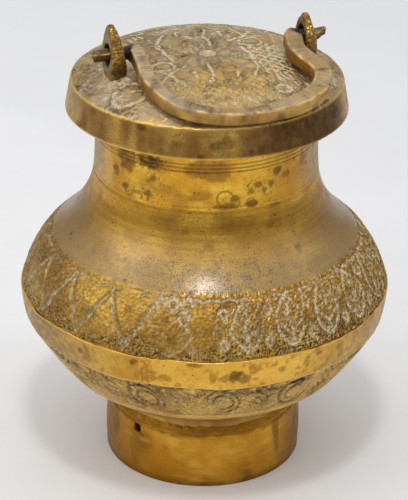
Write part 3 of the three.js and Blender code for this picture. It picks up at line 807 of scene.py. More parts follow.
def belt_relief(spot, angle, outline):
    """Wavy edges, slow dents, a step at the seam and edges rubbed bright.

    It also paints shade beside the step, and painted reflection and shade that grey and dull the sides.
    """
    outside = ease(outline.out, 0.3, 0.8)[:, None] * (outline.stretch < 3)[:, None]
    middle = (BELT_LOW[1] + BELT_HIGH[1]) / 2
    side = (spot[..., 2] - middle) / (BELT_HIGH[1] - middle)
    ring = spot * (1, 1, 0)
    waves = 0.3 * noise(ring, 6, 32) + 0.1 * noise(ring, 1.4, 33)
    lower = 0.3 * noise(ring, 7, 38) + 0.1 * noise(ring, 1.6, 35)
    rise = np.where(side > 0, waves, lower) * side**2 * np.sign(side) * -1
    turn = around(angle, BELT_SEAM)
    seam = 0.14 * ease(turn, 0.004, -0.004) * ease(turn, -0.5, -0.01)
    push = (0.1 * noise(spot, 6, 36) + 0.03 * noise(spot, 1.5, 37) - seam) * outside
    edges = ease(np.abs(side), 0.9, 0.98) * outside * patchy(spot, 2, 30, -0.9, -0.2)
    crack = np.exp(-((turn * 39 / 0.25) ** 2)) * outside * ease(side, 0.6, 0.2)
    stain = marks_on(spot, angle, 39, BELT_MARKS, 0.35) * outside
    # Painted shade beside the step where the belt's ends overlap, put in the brown.
    shade = ease(turn, 0.0, -0.02) * ease(turn, -0.35, -0.05) * outside
    blots = ease(noise(spot, 2.0, 29) + 0.6 * noise(spot, 0.7, 26), 0.2, 0.9)
    aside = around(angle, FRONT)
    # Painted reflection and shade: the film greys and dulls the sides, the left one a little more.
    dull = 0.8 * ease(np.abs(aside), 0.35, 1.0) + 0.3 * ease(aside, -0.3, -0.7)
    masks = {
        "worn": edges,
        "stain": most(stain, crack * 0.6),
        "brown": most(blots * 0.8, shade * 0.6) * outside,
        "film": dull * outside,
    }
    return push - 0.05 * stain, rise, masks


belt_outline = Outline(walk(
    (BELT_INSIDE, BELT_LOW[1]),
    (0.25, BELT_LOW),
    (0.28, BELT_HIGH, (0.8, 0.5)),
    (0.25, (BELT_INSIDE, BELT_HIGH[1])),
    (1.5, (BELT_INSIDE, BELT_LOW[1])),
), soft=0.25)
stand_for(lathe("belly_belt", belt_outline, 1080, belt_relief), "belt", BELT_BRASS)

# %% [markdown]
# ## Shoulder and its upper band
#
# The upper shell is smooth above and chased below, on a punched ground. A big zigzag runs round
# most of it. In front, between two chains of small lozenges, stands a row of upright pointed
# leaves with slanting veins, a common border of such pots.

# %% Shoulder sizes
SHOULDER_FOOT, UPPER_TOP, NECK_SEAT = (38.92, 40.1), (32.3, 51.6), (23.45, 66.0)
BAND_RADIUS = 36.0
ZIGZAG_PITCH, ZIGZAG_PLACE = 11.0, -15.6
LEAF_PITCH, LEAF_PLACE, LEAF_MIDDLE = 9.2, 8.4, 6.3
LEAF_FIELD, CHAIN_START = (2.0, 58.0), -9.5
SECOND_CHAIN, CHAINS_APART = (59.5, 71.0), 69.0
HATCH_GAP = 0.96
DIAMONDS = [(-7.0, 11.2, 1.7, 1.3), (-3.5, 11.2, 1.7, 1.3), (-4.2, 8.3, 1.3, 1.5), (-3.4, 5.2, 1.2, 1.5)]
DIAMOND_LEGS = [((-3.4, 3.7), (-6.4, 0.6)), ((-3.4, 3.7), (-0.8, 0.6)), ((-8.7, 11.2), (-10.4, 12.6))]
SHOULDER_MARKS = [
    (-88.7, 54.9, 1.2, 1.2, 0.12), (-149.9, 57.9, 0.35, 0.35, 1.0), (-75.7, 61.8, 0.9, 0.6, 0.7),
    (-64.5, 56.5, 0.9, 0.5, 0.6), (-117.5, 62.0, 0.8, 0.5, 0.5), (-142, 55, 0.4, 0.3, 0.6),
    (-99, 64.8, 2.6, 0.8, 0.45), (-72, 65.5, 1.6, 0.7, 0.4), (-94, 63.4, 6.0, 1.4, 0.35),
    (-72, 62.6, 1.8, 2.2, 0.3), (-128, 63.6, 3.0, 1.0, 0.3), (-106, 59.5, 1.2, 0.5, 0.4),
    (30, 58, 2.2, 1.4, 0.6), (95, 60, 1.2, 1.0, 0.7), (160, 57, 1.6, 0.9, 0.5),
    (60, 54, 0.5, 0.5, 0.9), (-20, 60, 1.1, 0.8, 0.6),
]
SHOULDER_RING = (-88.7, 54.9, 1.5)
MARKS_RADIUS = 28
print("the plain shoulder has", len(SHOULDER_MARKS), "marks")

# %% Ornament of the upper band
def diamond(a, b, wide, high):
    """Distance to a lozenge's line."""
    return np.abs(np.abs(a) / wide + np.abs(b) / high - 1) * min(wide, high) * 0.8


def zigzag_lines(a, b):
    """A zigzag between the belt and the top of the band, its slant brought back to a distance."""
    swing = np.abs(repeat(a, ZIGZAG_PITCH, ZIGZAG_PLACE)) / (ZIGZAG_PITCH / 2)
    slope = 10.4 / (ZIGZAG_PITCH / 2)
    return np.abs(b - 0.9 - 10.4 * swing) / np.sqrt(1 + slope**2)


def leaf_lines(a, b):
    """Upright leaves with a midrib and slanting veins, and a small lozenge between two leaves."""
    here, up = repeat(a, LEAF_PITCH, LEAF_PLACE), b - LEAF_MIDDLE
    edge = leaf(here, up, 2.9, 5.2)
    rib = np.abs(here) + most(np.abs(up) - 3.6, 0)
    inside = 2.9 * (1 - (up / 5.2) ** 2) - np.abs(here)
    veins = np.abs((up - 0.9 * np.abs(here) + 9) % 1.9 - 0.95) + 2 * most(0.7 - inside, 0)
    between = repeat(a, LEAF_PITCH, LEAF_PLACE + LEAF_PITCH / 2)
    small = least(diamond(between, up - 3.2, 0.9, 1.3), diamond(between, up + 3.2, 0.9, 1.3))
    return least(edge, rib, veins + 0.12, small)


def diamond_lines(a, b):
    """The chain of lozenges and the strokes that end it."""
    chain = [diamond(a - x, b - y, wide, high) for x, y, wide, high in DIAMONDS]
    return least(*chain, *(stroke(a, b, *ends) for ends in DIAMOND_LEGS))


def ornament(a, b, leaves):
    """Distance to the lines: the zigzag goes on where there are neither leaves nor lozenges."""
    lines = np.where(leaves, leaf_lines(a, b), zigzag_lines(a, b))
    chain = least(diamond_lines(a, b), diamond_lines(a - CHAINS_APART, b))
    second = (a > SECOND_CHAIN[0]) & (a < SECOND_CHAIN[1])
    return np.where((a > CHAIN_START) & (a <= LEAF_FIELD[0]) | second, chain, lines)


def zigzag_floor(a):
    """Below this line the ground between the zigzag's strokes is punched, above it is hatched."""
    return 2.5 + 1.5 * np.sin(a / 3.0)


leaf_count = (LEAF_FIELD[1] - LEAF_FIELD[0]) / LEAF_PITCH
print("between the two chains stand", round(leaf_count, 1), "leaves")

# %% Shoulder
SHOULDER_BAND, SHOULDER_PLAIN = 3, 4


def shoulder_relief(spot, angle, outline):
    """The chased band, the punched ground, a scalloped line above it, and the plain shoulder.

    Painted light too: a grey reflection at the sides, a lighter band on the right, a paler film
    over the highlight, and glints between the dots.
    """
    band, plain = on(outline, SHOULDER_BAND), on(outline, SHOULDER_PLAIN)
    z = spot[..., 2]
    turn = around(angle, FRONT)
    a = turn * BAND_RADIUS + 0.5 * noise(spot, 2.4, 42)
    b = outline.run[:, None] - 0.4 + 0.2 * noise(spot, 1.6, 41)
    leaves = (a > LEAF_FIELD[0]) & (a < LEAF_FIELD[1])
    lines = ornament(a, b, leaves)
    scallops = np.abs(b - 11.7 - 0.5 * np.abs(np.sin(np.pi * a / 3.5)))
    toothed = 1 + 0.5 * noise(spot, 0.5, 43) + 0.2 * noise(spot, 1.4, 40)
    cut = groove(lines, np.where(leaves, 0.56, 0.8) * toothed) * ease(b, 0.2, 0.8)
    beside = groove(lines, 1.5) * (1 - cut) * (~leaves) * ease(b, 0.2, 0.8) * band
    rim = groove(scallops, 0.5 * toothed) * patchy(spot, 3, 49, -0.9, -0.1)
    hatching = groove(np.abs((b + 0.12 * a) % HATCH_GAP - HATCH_GAP / 2), 0.24)
    hatching = hatching * (~leaves) * patchy(spot, 2.2, 34, -0.5, 0.3)
    smooth = np.where(leaves, 1.0, ease(b, zigzag_floor(a) + 0.6, zigzag_floor(a) - 0.6))
    both = most(cut, rim) * band
    # The band's right side is painted lighter, a painted reflection: its dots are less dark above, with
    # more chalk specks and glints and less film and stain.
    low, right = ease(b, 6.5, 1.0), ease(a, 4, 22) * ease(a, 110, 70)
    ground = band * ease(b, 13.8, 13.0) * (0.5 + 0.5 * smooth) * (0.8 + 0.2 * most(low, right))
    lumps = 0.1 * noise(spot, 0.6, 44) * ground + 0.05 * noise(spot, 1.5, 39) * band
    dots = pricked(a, b, DOT_GAP, 33) * ground
    dents = 0.07 * noise(spot, 12, 45) * (outline.out[:, None] > 0.2)
    push = -0.3 * both - 0.05 * hatching * band - 0.15 * dots + lumps + dents
    marks = marks_on(spot, angle, MARKS_RADIUS, SHOULDER_MARKS, 0.25)
    marks = most(marks, ring_mark(spot, angle, MARKS_RADIUS, *SHOULDER_RING) * 0.35) * plain
    # Painted reflection: the sides turned away from the front get a greyer film.
    flank = ease(np.abs(turn), 0.5, 1.2)
    # A paler grey film painted over the highlight in front, so that the highlight reads whiter.
    highlight_paling = np.exp(-((turn / 0.4) ** 2)) * ease(z, 60, 54)
    pits = plain * np.exp(-((turn / 0.8) ** 2)) * ease(z, 62, 53)
    dark = (1.2 - 0.45 * right * (1 - low) + 0.3 * right * low) * dots * (1 - 0.7 * both)
    broken = 0.35 + 0.65 * patchy(spot, 0.5, 50, -0.5, 0.1)
    filled = both * (patchy(spot, 5, 46, -0.9, 0.1) + 0.4) * (0.6 + 0.4 * ease(a, -14, -6)) * broken
    specks = band * (1 - dots) * patchy(spot, 0.45, 37, 0.15, 0.6) * (0.4 + 0.6 * right)
    # Bright flecks between the dots: rubbed metal, and partly painted glints, stronger on the right.
    glints = band * (1 - both) * (1 - dots) * patchy(spot, 0.5, 48, 0.1, 0.8)
    # The film here is partly real dull film and partly painted reflection: it grows towards the sides and
    # low on the shoulder near the highlight.
    film_and_side_reflection = plain * (0.5 + 0.35 * most(flank, ease(z, 57, 54))) * ease(z + noise(spot, 6, 36), 64, 54)
    masks = {
        "punch": ground * 0.5 + pits * 0.55,
        "cut": most(both * 0.6, dark, hatching * band * 0.55, 0.55 * beside),
        "chalk": most(filled, specks),
        "stain": most(marks, band * patchy(spot, 2.2, 47, 0.2, 0.9) * 0.45 * (1 - right)),
        "worn": glints * (0.35 + 0.3 * right),
        "film": film_and_side_reflection + band * (0.2 + 0.3 * flank) * (1 - 0.6 * right) + plain * 0.25 * highlight_paling,
        "gloss": plain * ease(z, 63, 55),
        "brown": (plain * 0.6 + band * 0.4) * patchy(spot, 3.5, 35, 0.0, 0.7),
    }
    return push, push * 0, masks


upper_band = curve(SHOULDER_FOOT, UPPER_TOP, (0.29, 0.67))
plain_shoulder = curve(UPPER_TOP, NECK_SEAT, (0.89, 0.44))
shell_inside = inner_side(np.vstack([upper_band, plain_shoulder[1:]]), 5.0, RIM - WALL)
SHOULDER_RIM = 37.05
shoulder_outline = Outline([
    *walk(
        (RIM - WALL, SHOULDER_RIM),
        (0.8, (RIM, SHOULDER_RIM)),
        (1.2, (RIM, SHOULDER_FOOT[1])),
        (0.5, SHOULDER_FOOT),
    ),
    (upper_band, 0.3),
    (plain_shoulder, 1.0),
    ([NECK_SEAT, shell_inside[0][0]], 0.6),
    shell_inside,
    ([shell_inside[0][-1], (RIM - WALL, SHOULDER_RIM)], 1.5),
], soft=0.25)
stand_for(lathe("shoulder_shell", shoulder_outline, 990, shoulder_relief), "shoulder", SHELL_BRASS)

# %% [markdown]
# ## Neck, washer and the lid's collar
#
# The neck is the brightest part, turned and polished, with three fine grooves under the lid, a
# raised line at its root and dark round spots. Its thread is a ridge whose height over the wall
# depends on how far a point lies from the screw line.

# %% Threads
THREAD_PITCH, THREAD_TURNS, THREAD_DEPTH = 2.0, 1.5, 0.9
THREAD_BASE, THREAD_CREST = 0.8, 0.4


def thread(spot, angle, start):
    """Height of the ridge: full within half its crest of the screw line, none past its base."""
    turns = (angle % TURN) / TURN
    lift = np.zeros(angle.shape)
    for lap in range(2):
        share = (turns + lap) / THREAD_TURNS
        line = start + (turns + lap) * THREAD_PITCH
        away = np.abs(spot[..., 2] - line)
        ridge = np.clip((THREAD_BASE / 2 + 0.05 - away) / ((THREAD_BASE - THREAD_CREST) / 2), 0, 1)
        lift = most(lift, ridge * ease(share, 0, 0.04) * ease(share, 1.0, 0.96))
    return lift * THREAD_DEPTH


print("the thread rises", THREAD_PITCH * THREAD_TURNS, "mm in", THREAD_TURNS, "turns")

# %% Neck
NECK_FOOT, NECK_BEAD, NECK_RADIUS, NECK_TOP = 65.9, 23.48, 23.1, 78.6
THREAD_ROOT, NECK_RIM, NECK_BORE = 22.3, 83.6, 20.8
GROOVES = [74.3, 75.1, 75.9]
NECK_THREAD_START = NECK_RIM - 0.5 - THREAD_TURNS * THREAD_PITCH
NECK_MARKS = [
    (-151.1, 74.4, 2.7, 2.5, 0.8), (-138.2, 75.4, 2.7, 1.7, 1.0), (-159.1, 71.0, 1.0, 1.1, 0.7),
    (-151.9, 68.4, 0.9, 0.7, 0.8), (-137.9, 68.2, 0.8, 0.7, 0.75), (-144, 68.0, 1.3, 0.5, 0.6),
    (-135, 71.8, 0.8, 0.7, 0.6), (-84.8, 66.9, 1.1, 0.9, 0.9), (-69.6, 73.0, 1.0, 0.9, 0.75),
    (-64.2, 71.6, 1.0, 0.8, 0.6), (-50.2, 73.2, 1.4, 1.2, 0.6), (-73.8, 70.5, 0.8, 0.7, 0.8),
    (-81.1, 70.8, 0.75, 0.6, 0.75), (-85.1, 69.6, 0.75, 0.7, 0.7), (-77.5, 69.5, 0.5, 0.6, 0.8),
    (-93.2, 68.4, 0.8, 0.8, 0.85), (-97.5, 66.9, 2.2, 0.7, 0.75), (20, 72, 1.5, 1.1, 0.8),
    (50, 69, 0.8, 0.6, 0.8), (85, 74, 2.2, 1.4, 0.7), (120, 70, 0.9, 0.7, 0.8), (160, 73, 1.4, 0.8, 0.7),
]
# Patches in front that are kept free of brown: painted highlights.
NECK_HIGHLIGHTS = [(-128, 71.2, 4.6, 2.2, 1.0), (-114, 71.4, 3.0, 1.2, 0.8), (-100, 68.4, 1.6, 0.8, 0.6)]
# Brown patches; the first is a painted shadow under the lid's front.
NECK_SHADES = [
    (-107, 74.6, 4.6, 2.8, 1.0), (-112, 69.3, 2.8, 1.4, 0.7), (-62, 68.5, 2.6, 2.0, 0.6),
    (60, 72, 5, 3, 0.6),
]
NECK_RING = (-98.3, 68.6, 1.6)
NECK_SEAT_RADIUS, NECK_WAIST = 23.42, (23.38, 67.0)
NECK_INSIDE, NECK_END, NECK_STRAIGHT = 21.6, 64.3, 72.45
NECK_OUTSIDE, NECK_SPIGOT = (3, 4, 5, 6), 8


def neck_relief(spot, angle, outline):
    """Turned grooves, the thread, slow dents and spots that stand a little below the polish.

    It also paints light: a shadow under the lid's front, shade on the right, a grey reflection at
    the sides and highlight patches that stay free of brown.
    """
    outside, root = on(outline, *NECK_OUTSIDE), on(outline, NECK_SPIGOT)
    z = spot[..., 2]
    lines = np.max([groove(np.abs(z - height), 0.22) for height in GROOVES], axis=0)
    ridge = thread(spot, angle, NECK_THREAD_START) * root
    spots = marks_on(spot, angle, NECK_RADIUS, NECK_MARKS, 0.28)
    wider = [(*mark[:2], mark[2] + 1.3, mark[3] + 1.1, 1) for mark in NECK_MARKS]
    crumbs = marks_on(spot, angle, NECK_RADIUS, wider, 0.3) * patchy(spot, 0.42, 54, 0.35, 0.6)
    ring = ring_mark(spot, angle, NECK_RADIUS, *NECK_RING)
    stain = most(spots, 0.65 * crumbs, ring * 0.75) * outside
    push = (-0.09 * lines + 0.05 * noise(spot, 7, 51)) * outside + ridge - 0.03 * stain
    turn = around(angle, FRONT)
    # Painted light: the right side gets painted shade in the brown, and both sides a painted grey
    # reflection in the film.
    flank, right_shade = ease(np.abs(turn), 0.85, 1.25), ease(turn, 0.3, 0.7)
    # Painted highlights: these patches lose their brown.
    highlight_patches = marks_on(spot, angle, NECK_RADIUS, NECK_HIGHLIGHTS, 0.5) * (1 - stain)
    shades = marks_on(spot, angle, NECK_RADIUS, NECK_SHADES)
    clouds = patchy(spot * (1, 1, 0.6), 4, 53, 0.2, 0.7)
    masks = {
        "stain": stain,
        "cut": lines * outside * 0.4,
        "brown": most(shades, clouds * 0.6, right_shade * 0.6) * (1 - highlight_patches) * outside,
        "film": flank * outside * (0.5 + 0.35 * ease(z, 66.4, 68)),
    }
    return push, push * 0, masks


neck_outline = Outline(walk(
    (NECK_BORE, NECK_END),
    (0.4, (NECK_INSIDE, NECK_END)),
    (0.8, (NECK_INSIDE, NECK_FOOT)),
    (0.6, (NECK_SEAT_RADIUS, NECK_FOOT)),
    (0.15, (NECK_BEAD, NECK_FOOT + 0.5)),
    (0.15, NECK_WAIST),
    (0.25, (NECK_RADIUS, NECK_STRAIGHT), (0.7, 0.5)),
    (0.15, (NECK_RADIUS, NECK_TOP)),
    (0.3, (THREAD_ROOT, NECK_TOP)),
    (0.16, (THREAD_ROOT, NECK_RIM)),
    (0.4, (NECK_BORE, NECK_RIM)),
    (3.0, (NECK_BORE, NECK_END)),
), soft=0.12)
stand_for(lathe("neck_tube", neck_outline, 640, neck_relief), "neck", NECK_BRASS)

# %% Lid's collar
COLLAR_BORE, COLLAR_OUTSIDE, COLLAR_LOW, COLLAR_HIGH = 23.6, 25.1, 79.9, 84.9


def collar_relief(spot, angle, outline):
    """The same ridge as on the neck, half a pitch higher, pointing in."""
    inside = (outline.out < -0.5)[:, None]
    ridge = thread(spot, angle, NECK_THREAD_START + THREAD_PITCH / 2) * inside
    return ridge + 0.02 * noise(spot, 3, 61), ridge * 0, {"cut": 0.4 * inside}


collar_outline = Outline(walk(
    (COLLAR_BORE, COLLAR_LOW),
    (0.4, (COLLAR_OUTSIDE, COLLAR_LOW)),
    (0.8, (COLLAR_OUTSIDE, COLLAR_HIGH)),
    (0.4, (COLLAR_BORE, COLLAR_HIGH)),
    (0.12, (COLLAR_BORE, COLLAR_LOW)),
), soft=0.12)
stand_for(lathe("screw_collar", collar_outline, 480, collar_relief), "lid_collar", FOOT_BRASS)

# %% Leather washer
WASHER_INSIDE, WASHER_OUTSIDE, WASHER_LOW, WASHER_HIGH = 21.0, 22.4, 83.9, 84.9


def leather():
    """Greased leather: a dark brown that varies in patches, with a fine grain."""
    material, bench, shader = new_material("greased leather")
    grain = bench.group(PATCHES, {"Size": 0.0006, "Low": 0.3, "High": 0.7, "Seed": 31.0})
    broad = bench.group(PATCHES, {"Size": 0.006, "Low": 0.35, "High": 0.65, "Seed": 32.0})
    tone = bench.mix(broad, paint(78, 52, 34), paint(112, 78, 50))
    tone = bench.mix(bench.times(grain, 0.3), tone, paint(48, 34, 24))
    bench.feed(shader["Base Color"], tone)
    bench.feed(shader["Roughness"], bench.math("MULTIPLY_ADD", grain, 0.2, 0.6))
    bump = bench.put("Bump", {"Strength": 0.4, "Distance": 0.0001, "Height": grain})
    bench.feed(shader["Normal"], bump.outputs[0])
    return material


def washer_relief(spot, angle, outline):
    """Leather that has been pressed between two rims is soft and uneven."""
    push = 0.04 * noise(spot, 1.2, 62)
    return push, push * 0, {}


washer_outline = Outline(walk(
    (WASHER_INSIDE, WASHER_LOW),
    (0.2, (WASHER_OUTSIDE, WASHER_LOW)),
    (0.2, (WASHER_OUTSIDE, WASHER_HIGH)),
    (0.2, (WASHER_INSIDE, WASHER_HIGH)),
    (0.2, (WASHER_INSIDE, WASHER_LOW)),
), soft=0.2)
stand_for(lathe("leather_washer", washer_outline, 360, washer_relief), "washer", leather())

# %% [markdown]
# ## Lid
#
# The lid is a low dome, flat in the middle and steep at its edge, with a flaring skirt. Its top is
# chased all over: petals round a centre dimple, branching sprigs, a lattice, and rows of small
# squares, all with pale dried polish in the lines.

# %% Lid shape
LID_SEAT, LID_RADIUS, LID_EDGE, DOME_RISE, DOME_POWER = 85.2, 28.14, 85.67, 5.0, 4
LID_WALL, RECESS, SKIRT_TOP_INSIDE = 1.6, 18.2, 26.84
SKIRT_LOW, SKIRT_INSIDE, SKIRT_OUTSIDE = 79.57, 27.95, 29.25
DIMPLE, DIMPLE_DEPTH = 1.5, 0.5


def dome(radius):
    """Height of the lid's top: it falls off with the fourth power of the radius."""
    return LID_EDGE + DOME_RISE * (1 - (np.asarray(radius, float) / LID_RADIUS) ** DOME_POWER)


print("the lid's top stands at", round(float(dome(0)), 2), "mm")

# %% Ornament of the lid
SPRIGS = [
    ((-10.5, -8.3), (-6.5, -5.8)), ((-10.5, -8.3), (-12.8, -11.5)), ((-10.5, -8.3), (-9.0, -14.0)),
    ((-10.5, -8.3), (-12.6, -6.9)), ((-1.8, -5.0), (-2.5, -11.0)), ((-2.5, -11.0), (-3.8, -14.0)),
    ((-5.6, -9.0), (-5.8, -11.6)), ((3.0, -11.5), (2.4, -14.5)), ((8.0, 2.0), (8.5, -5.0)),
    ((8.5, -5.0), (7.9, -8.8)), ((7.9, -8.8), (5.8, -13.0)), ((10.2, -13.2), (10.6, -15.6)),
    ((11.3, -12.9), (11.8, -15.3)), ((12.4, -12.4), (13.0, -14.8)), ((-13.4, -3.0), (-12.4, 3.0)),
]
BOSSES = [(-10.7, -4.5, 2.3), (10.0, -18.5, 1.3), (-19.8, -11.5, 3.2)]
LATTICE_FIELD, LATTICE_PITCH = (11.8, -5.5, 3.2, 7.2), 2.4
SQUARES_FIELD, SQUARES_PITCH = (13.5, 23.5), 2.1
LUG_FEET = (20.6, -3.6, 1.4, 2.5)


def petal_lines(x, y):
    """Distance to a wreath of pointed petals round the middle of the lid."""
    radius, turn = np.hypot(x, y), np.arctan2(y, x)
    inner = leaf(repeat(turn, TURN / 12) * radius, radius - 4.6, 1.0, 2.3)
    outer = leaf(repeat(turn, TURN / 12, TURN / 24) * radius, radius - 7.6, 1.6, 2.4)
    return least(inner, np.where(radius > 6.4, outer, 9))


def sprig_lines(x, y):
    """Distance to the sprigs and the round bosses, which the lid has twice, half a turn apart."""
    found = []
    for start, end in SPRIGS:
        found.append(least(stroke(x, y, start, end), stroke(-x, -y, start, end)))
    for bx, by, size in BOSSES:
        away = least(np.hypot(x - bx, y - by), np.hypot(x + bx, y + by))
        found.append(np.abs(away - size))
    return least(*found)


def crossed(x, y, pitch):
    """Distance to two sets of slanting lines that cross, a pitch apart along x."""
    both = [np.abs(v % pitch - pitch / 2) for v in (x + y, x - y)]
    return least(*both) * 0.7


def lid_fields(x, y):
    """Distance to the lines of the lattice and the rows of squares, and where the lattice lies."""
    lx, ly, wide, high = LATTICE_FIELD
    inside = most(np.abs(x - lx) / wide, np.abs(y - ly) / high) < 1
    radius = np.hypot(x, y)
    rows = (radius > SQUARES_FIELD[0]) & (radius < SQUARES_FIELD[1]) & (np.abs(x) < 0.9 * np.abs(y))
    squares = np.where(rows, crossed(x, y, SQUARES_PITCH) + 0.05, 9)
    return np.where(inside, crossed(x, y, LATTICE_PITCH), squares), inside


def lug_feet(x, y, spot):
    """1 under the two lugs and 0 away from them: the solder that holds each to the lid."""
    fx, fy, wide, high = LUG_FEET
    aside, ahead = np.abs(np.abs(x) - fx) - wide, np.abs(y - fy) - high
    away = np.hypot(most(aside, 0), most(ahead, 0))
    return ease(away + 0.15 * noise(spot, 1.2, 70), 1.6, 0.0)


print("strokes and bosses, each cut twice:", len(SPRIGS), "and", len(BOSSES))

# %% Lid
LID_SKIRT = 5


def lid_relief(spot, angle, outline):
    """Chased lines and dots on the top, slow dents and nicked bright edges on the skirt.

    The skirt also gets painted shade on its right side and a painted grey reflection at its far ends.
    """
    top = ((outline.up > 0.3) & (outline.z > LID_EDGE))[:, None] * 1.0
    side = on(outline, LID_SKIRT, LID_SKIRT - 1)
    true_x, true_y, z = np.moveaxis(spot, -1, 0)
    x = true_x + 0.45 * noise(spot, 2.4, 71) + 0.15 * noise(spot, 0.8, 85)
    y = true_y + 0.45 * noise(spot, 2.4, 72) + 0.15 * noise(spot, 0.8, 86)
    radius, true = np.hypot(x, y), np.hypot(true_x, true_y)
    centre, ring = ease(true, 2.0, 1.7), groove(np.abs(true - 1.95), 0.4) * top
    open_top = top * (1 - centre)
    front = np.exp(-(((x + 0.5) / 12) ** 2 + ((y + 15) / 8.5) ** 2))
    toothed = 1 + 0.5 * noise(spot, 0.7, 73)
    sprigs = sprig_lines(x, y)
    bold = groove(sprigs, 0.62 * toothed)
    halo = groove(sprigs, 1.5) * open_top * (1 - bold)
    petals = groove(petal_lines(x, y), 0.5 * toothed) * 0.9
    shake = 0.14 * noise(spot, 0.9, 69)
    fields, netted = lid_fields(true_x + shake, true_y + shake)
    fine = groove(fields, 0.36 * toothed) * patchy(spot, 2.6, 87, -0.8, -0.1)
    lattice = groove(fields, 0.34) * netted
    ripple = np.abs(noise(spot, 2.1, 74) + 0.35 * noise(spot, 0.9, 89))
    veins = groove(ripple * 1.8, 0.4 * toothed) * (1 - front) * (~netted)
    veins = veins * ease(radius, 6, 9) * ease(radius, 27.6, 26.4)
    border = groove(np.abs(radius - 25.3), 0.35) * 0.5 * patchy(spot, 4, 88, -0.5, 0.2)
    cut = most(bold, petals, fine, veins * 0.85, border) * open_top
    dots = pricked(x, y, 0.9, 75) * patchy(spot, 3, 76, -0.1, 0.4) * open_top
    feet = lug_feet(x, y, spot) * top
    lumps = (0.13 * noise(spot, 1.7, 78) + 0.06 * noise(spot, 0.7, 90)) * open_top
    still = 1 - 0.7 * ease(y, 4, 12)
    dents = 0.08 * noise(spot, 9, 77) * (top + side)
    rims = np.exp(-(((z - LID_EDGE) / 0.22) ** 2)) * (outline.r > 27.7)[:, None]
    rims = rims + np.exp(-(((z - SKIRT_LOW) / 0.3) ** 2)) * (outline.r > 28.6)[:, None]
    nicks = patchy(spot, 0.8, 79, 0.35, 0.8)
    push = (-0.28 * cut - 0.12 * dots + lumps) * still + 0.6 * feet - 0.2 * ring + dents
    push = push - 0.08 * nicks * np.clip(rims, 0, 1)
    turn = around(angle, FRONT)
    # Painted shade on the skirt's right side: it goes into the stain, the brown and the film, and dims the
    # bright rim there.
    shade = ease(turn, -0.1, 0.8) * ease(turn, 1.5, 1.0)
    # Painted reflection: the skirt's far ends turn greyer.
    ends = ease(np.abs(turn), 0.95, 1.4) * side
    dust = patchy(spot, 1.5, 91, 0.15, 0.7) * 0.4 * (1 - front) * open_top * (~netted)
    filled = cut * (1 - 0.75 * petals) * patchy(spot, 5, 81, -0.8, 0.1) * (1 - 0.45 * front)
    deep = [petals * 0.4 * open_top, dots * 0.8, halo * 0.7, 0.8 * ring]
    pale = [filled, dust, bold * open_top * 1.3, lattice * open_top * 2.0, 0.5 * feet]
    blots = open_top * patchy(spot, 2.6, 82, 0.3, 0.8) * 0.7
    smears = side * patchy(spot, 2.5, 83, 0.25, 0.8) * 0.7
    shadow = side * np.clip(1.1 * shade + 0.35 * noise(spot, 1.8, 96), 0, 1)
    # Rubbed bright edges, dimmed where the painted shade falls.
    edges = rims * (1 - 0.6 * nicks) * (1 - 0.5 * shade)
    rubbed = front * (1 - cut) * top * 0.8 * patchy(spot, 1.6, 92, -0.6, 0.2)
    grey = top * (1 - 0.8 * front * (1 - centre)) * (0.45 + 0.55 * patchy(spot, 3, 94, -0.6, 0.3))
    # Brown tarnish in patches, with more where the painted shade falls.
    tarnish = np.clip(0.5 + 0.9 * noise(spot * (1, 1, 0.4), 2.2, 95) + 0.4 * shade, 0, 1)
    masks = {
        "cut": most(*deep) + 0.4 * fine * front * open_top,
        "chalk": most(*pale, 0.7 * centre * top),
        "stain": most(blots, smears, shadow),
        "worn": np.clip(edges + rubbed, 0, 1),
        "punch": open_top * 0.5 * patchy(spot, 3.5, 93, 0.0, 0.5),
        "film": grey + 0.45 * ends + 0.12 * shade * side,
        "brown": side * (1 - ends) * tarnish + 0.35 * petals * (1 - centre),
    }
    return push, push * 0, masks


reach = np.cos(np.linspace(0, np.pi / 2, 90))
dome_line = np.column_stack([LID_RADIUS * reach, dome(LID_RADIUS * reach)])
dome_line = dome_line[dome_line[:, 0] > DIMPLE]
roof_reach = np.linspace(0, RECESS, 12)
roof = np.column_stack([roof_reach, dome(roof_reach) - LID_WALL])
crown = float(dome(0))
lid_outline = Outline([
    (roof, 5.0),
    *walk(
        roof[-1],
        (1.2, (RECESS, LID_SEAT)),
        (3.0, (SKIRT_TOP_INSIDE, LID_SEAT)),
        (2.0, (SKIRT_INSIDE, SKIRT_LOW)),
        (0.3, (SKIRT_OUTSIDE, SKIRT_LOW)),
        (0.32, (LID_RADIUS, LID_EDGE)),
    ),
    (np.vstack([dome_line, [(DIMPLE, crown)]]), 0.32),
    *walk(
        (DIMPLE, crown),
        (0.15, (DIMPLE - 0.3, crown - DIMPLE_DEPTH)),
        (0.3, (0, crown - DIMPLE_DEPTH)),
    ),
], soft=0.3, closed=False)
stand_for(lathe("domed_lid", lid_outline, 684, lid_relief), "lid_cap", LID_BRASS)

# %% [markdown]
# ## Lugs
#
# Each lug is a leaf of thick sheet, filed round its edge and drilled. Its section is a rounded
# bar that is carried once round the hole: its inner end follows the hole, its outer end the leaf.

# %% Outline of a lug
LUG_PLACE, LUG_OFFSET = 20.4, 3.6
LUG_HALF, LUG_BASE_HALF, HOLE = 3.5, 2.6, 2.25
PIVOT_RISE, LUG_SINK = 4.7, 1.1
PIVOT = (0.0, -LUG_OFFSET, 93.9016)
LUG_TAPER = 0.6


def cubic(points, steps):
    """A cubic curve from four points."""
    a, b, c, d = (np.array(p, float) for p in points)
    t = np.linspace(0, 1, steps, endpoint=False)[:, None]
    return a * (1 - t) ** 3 + 3 * b * t * (1 - t) ** 2 + 3 * c * t**2 * (1 - t) + d * t**3


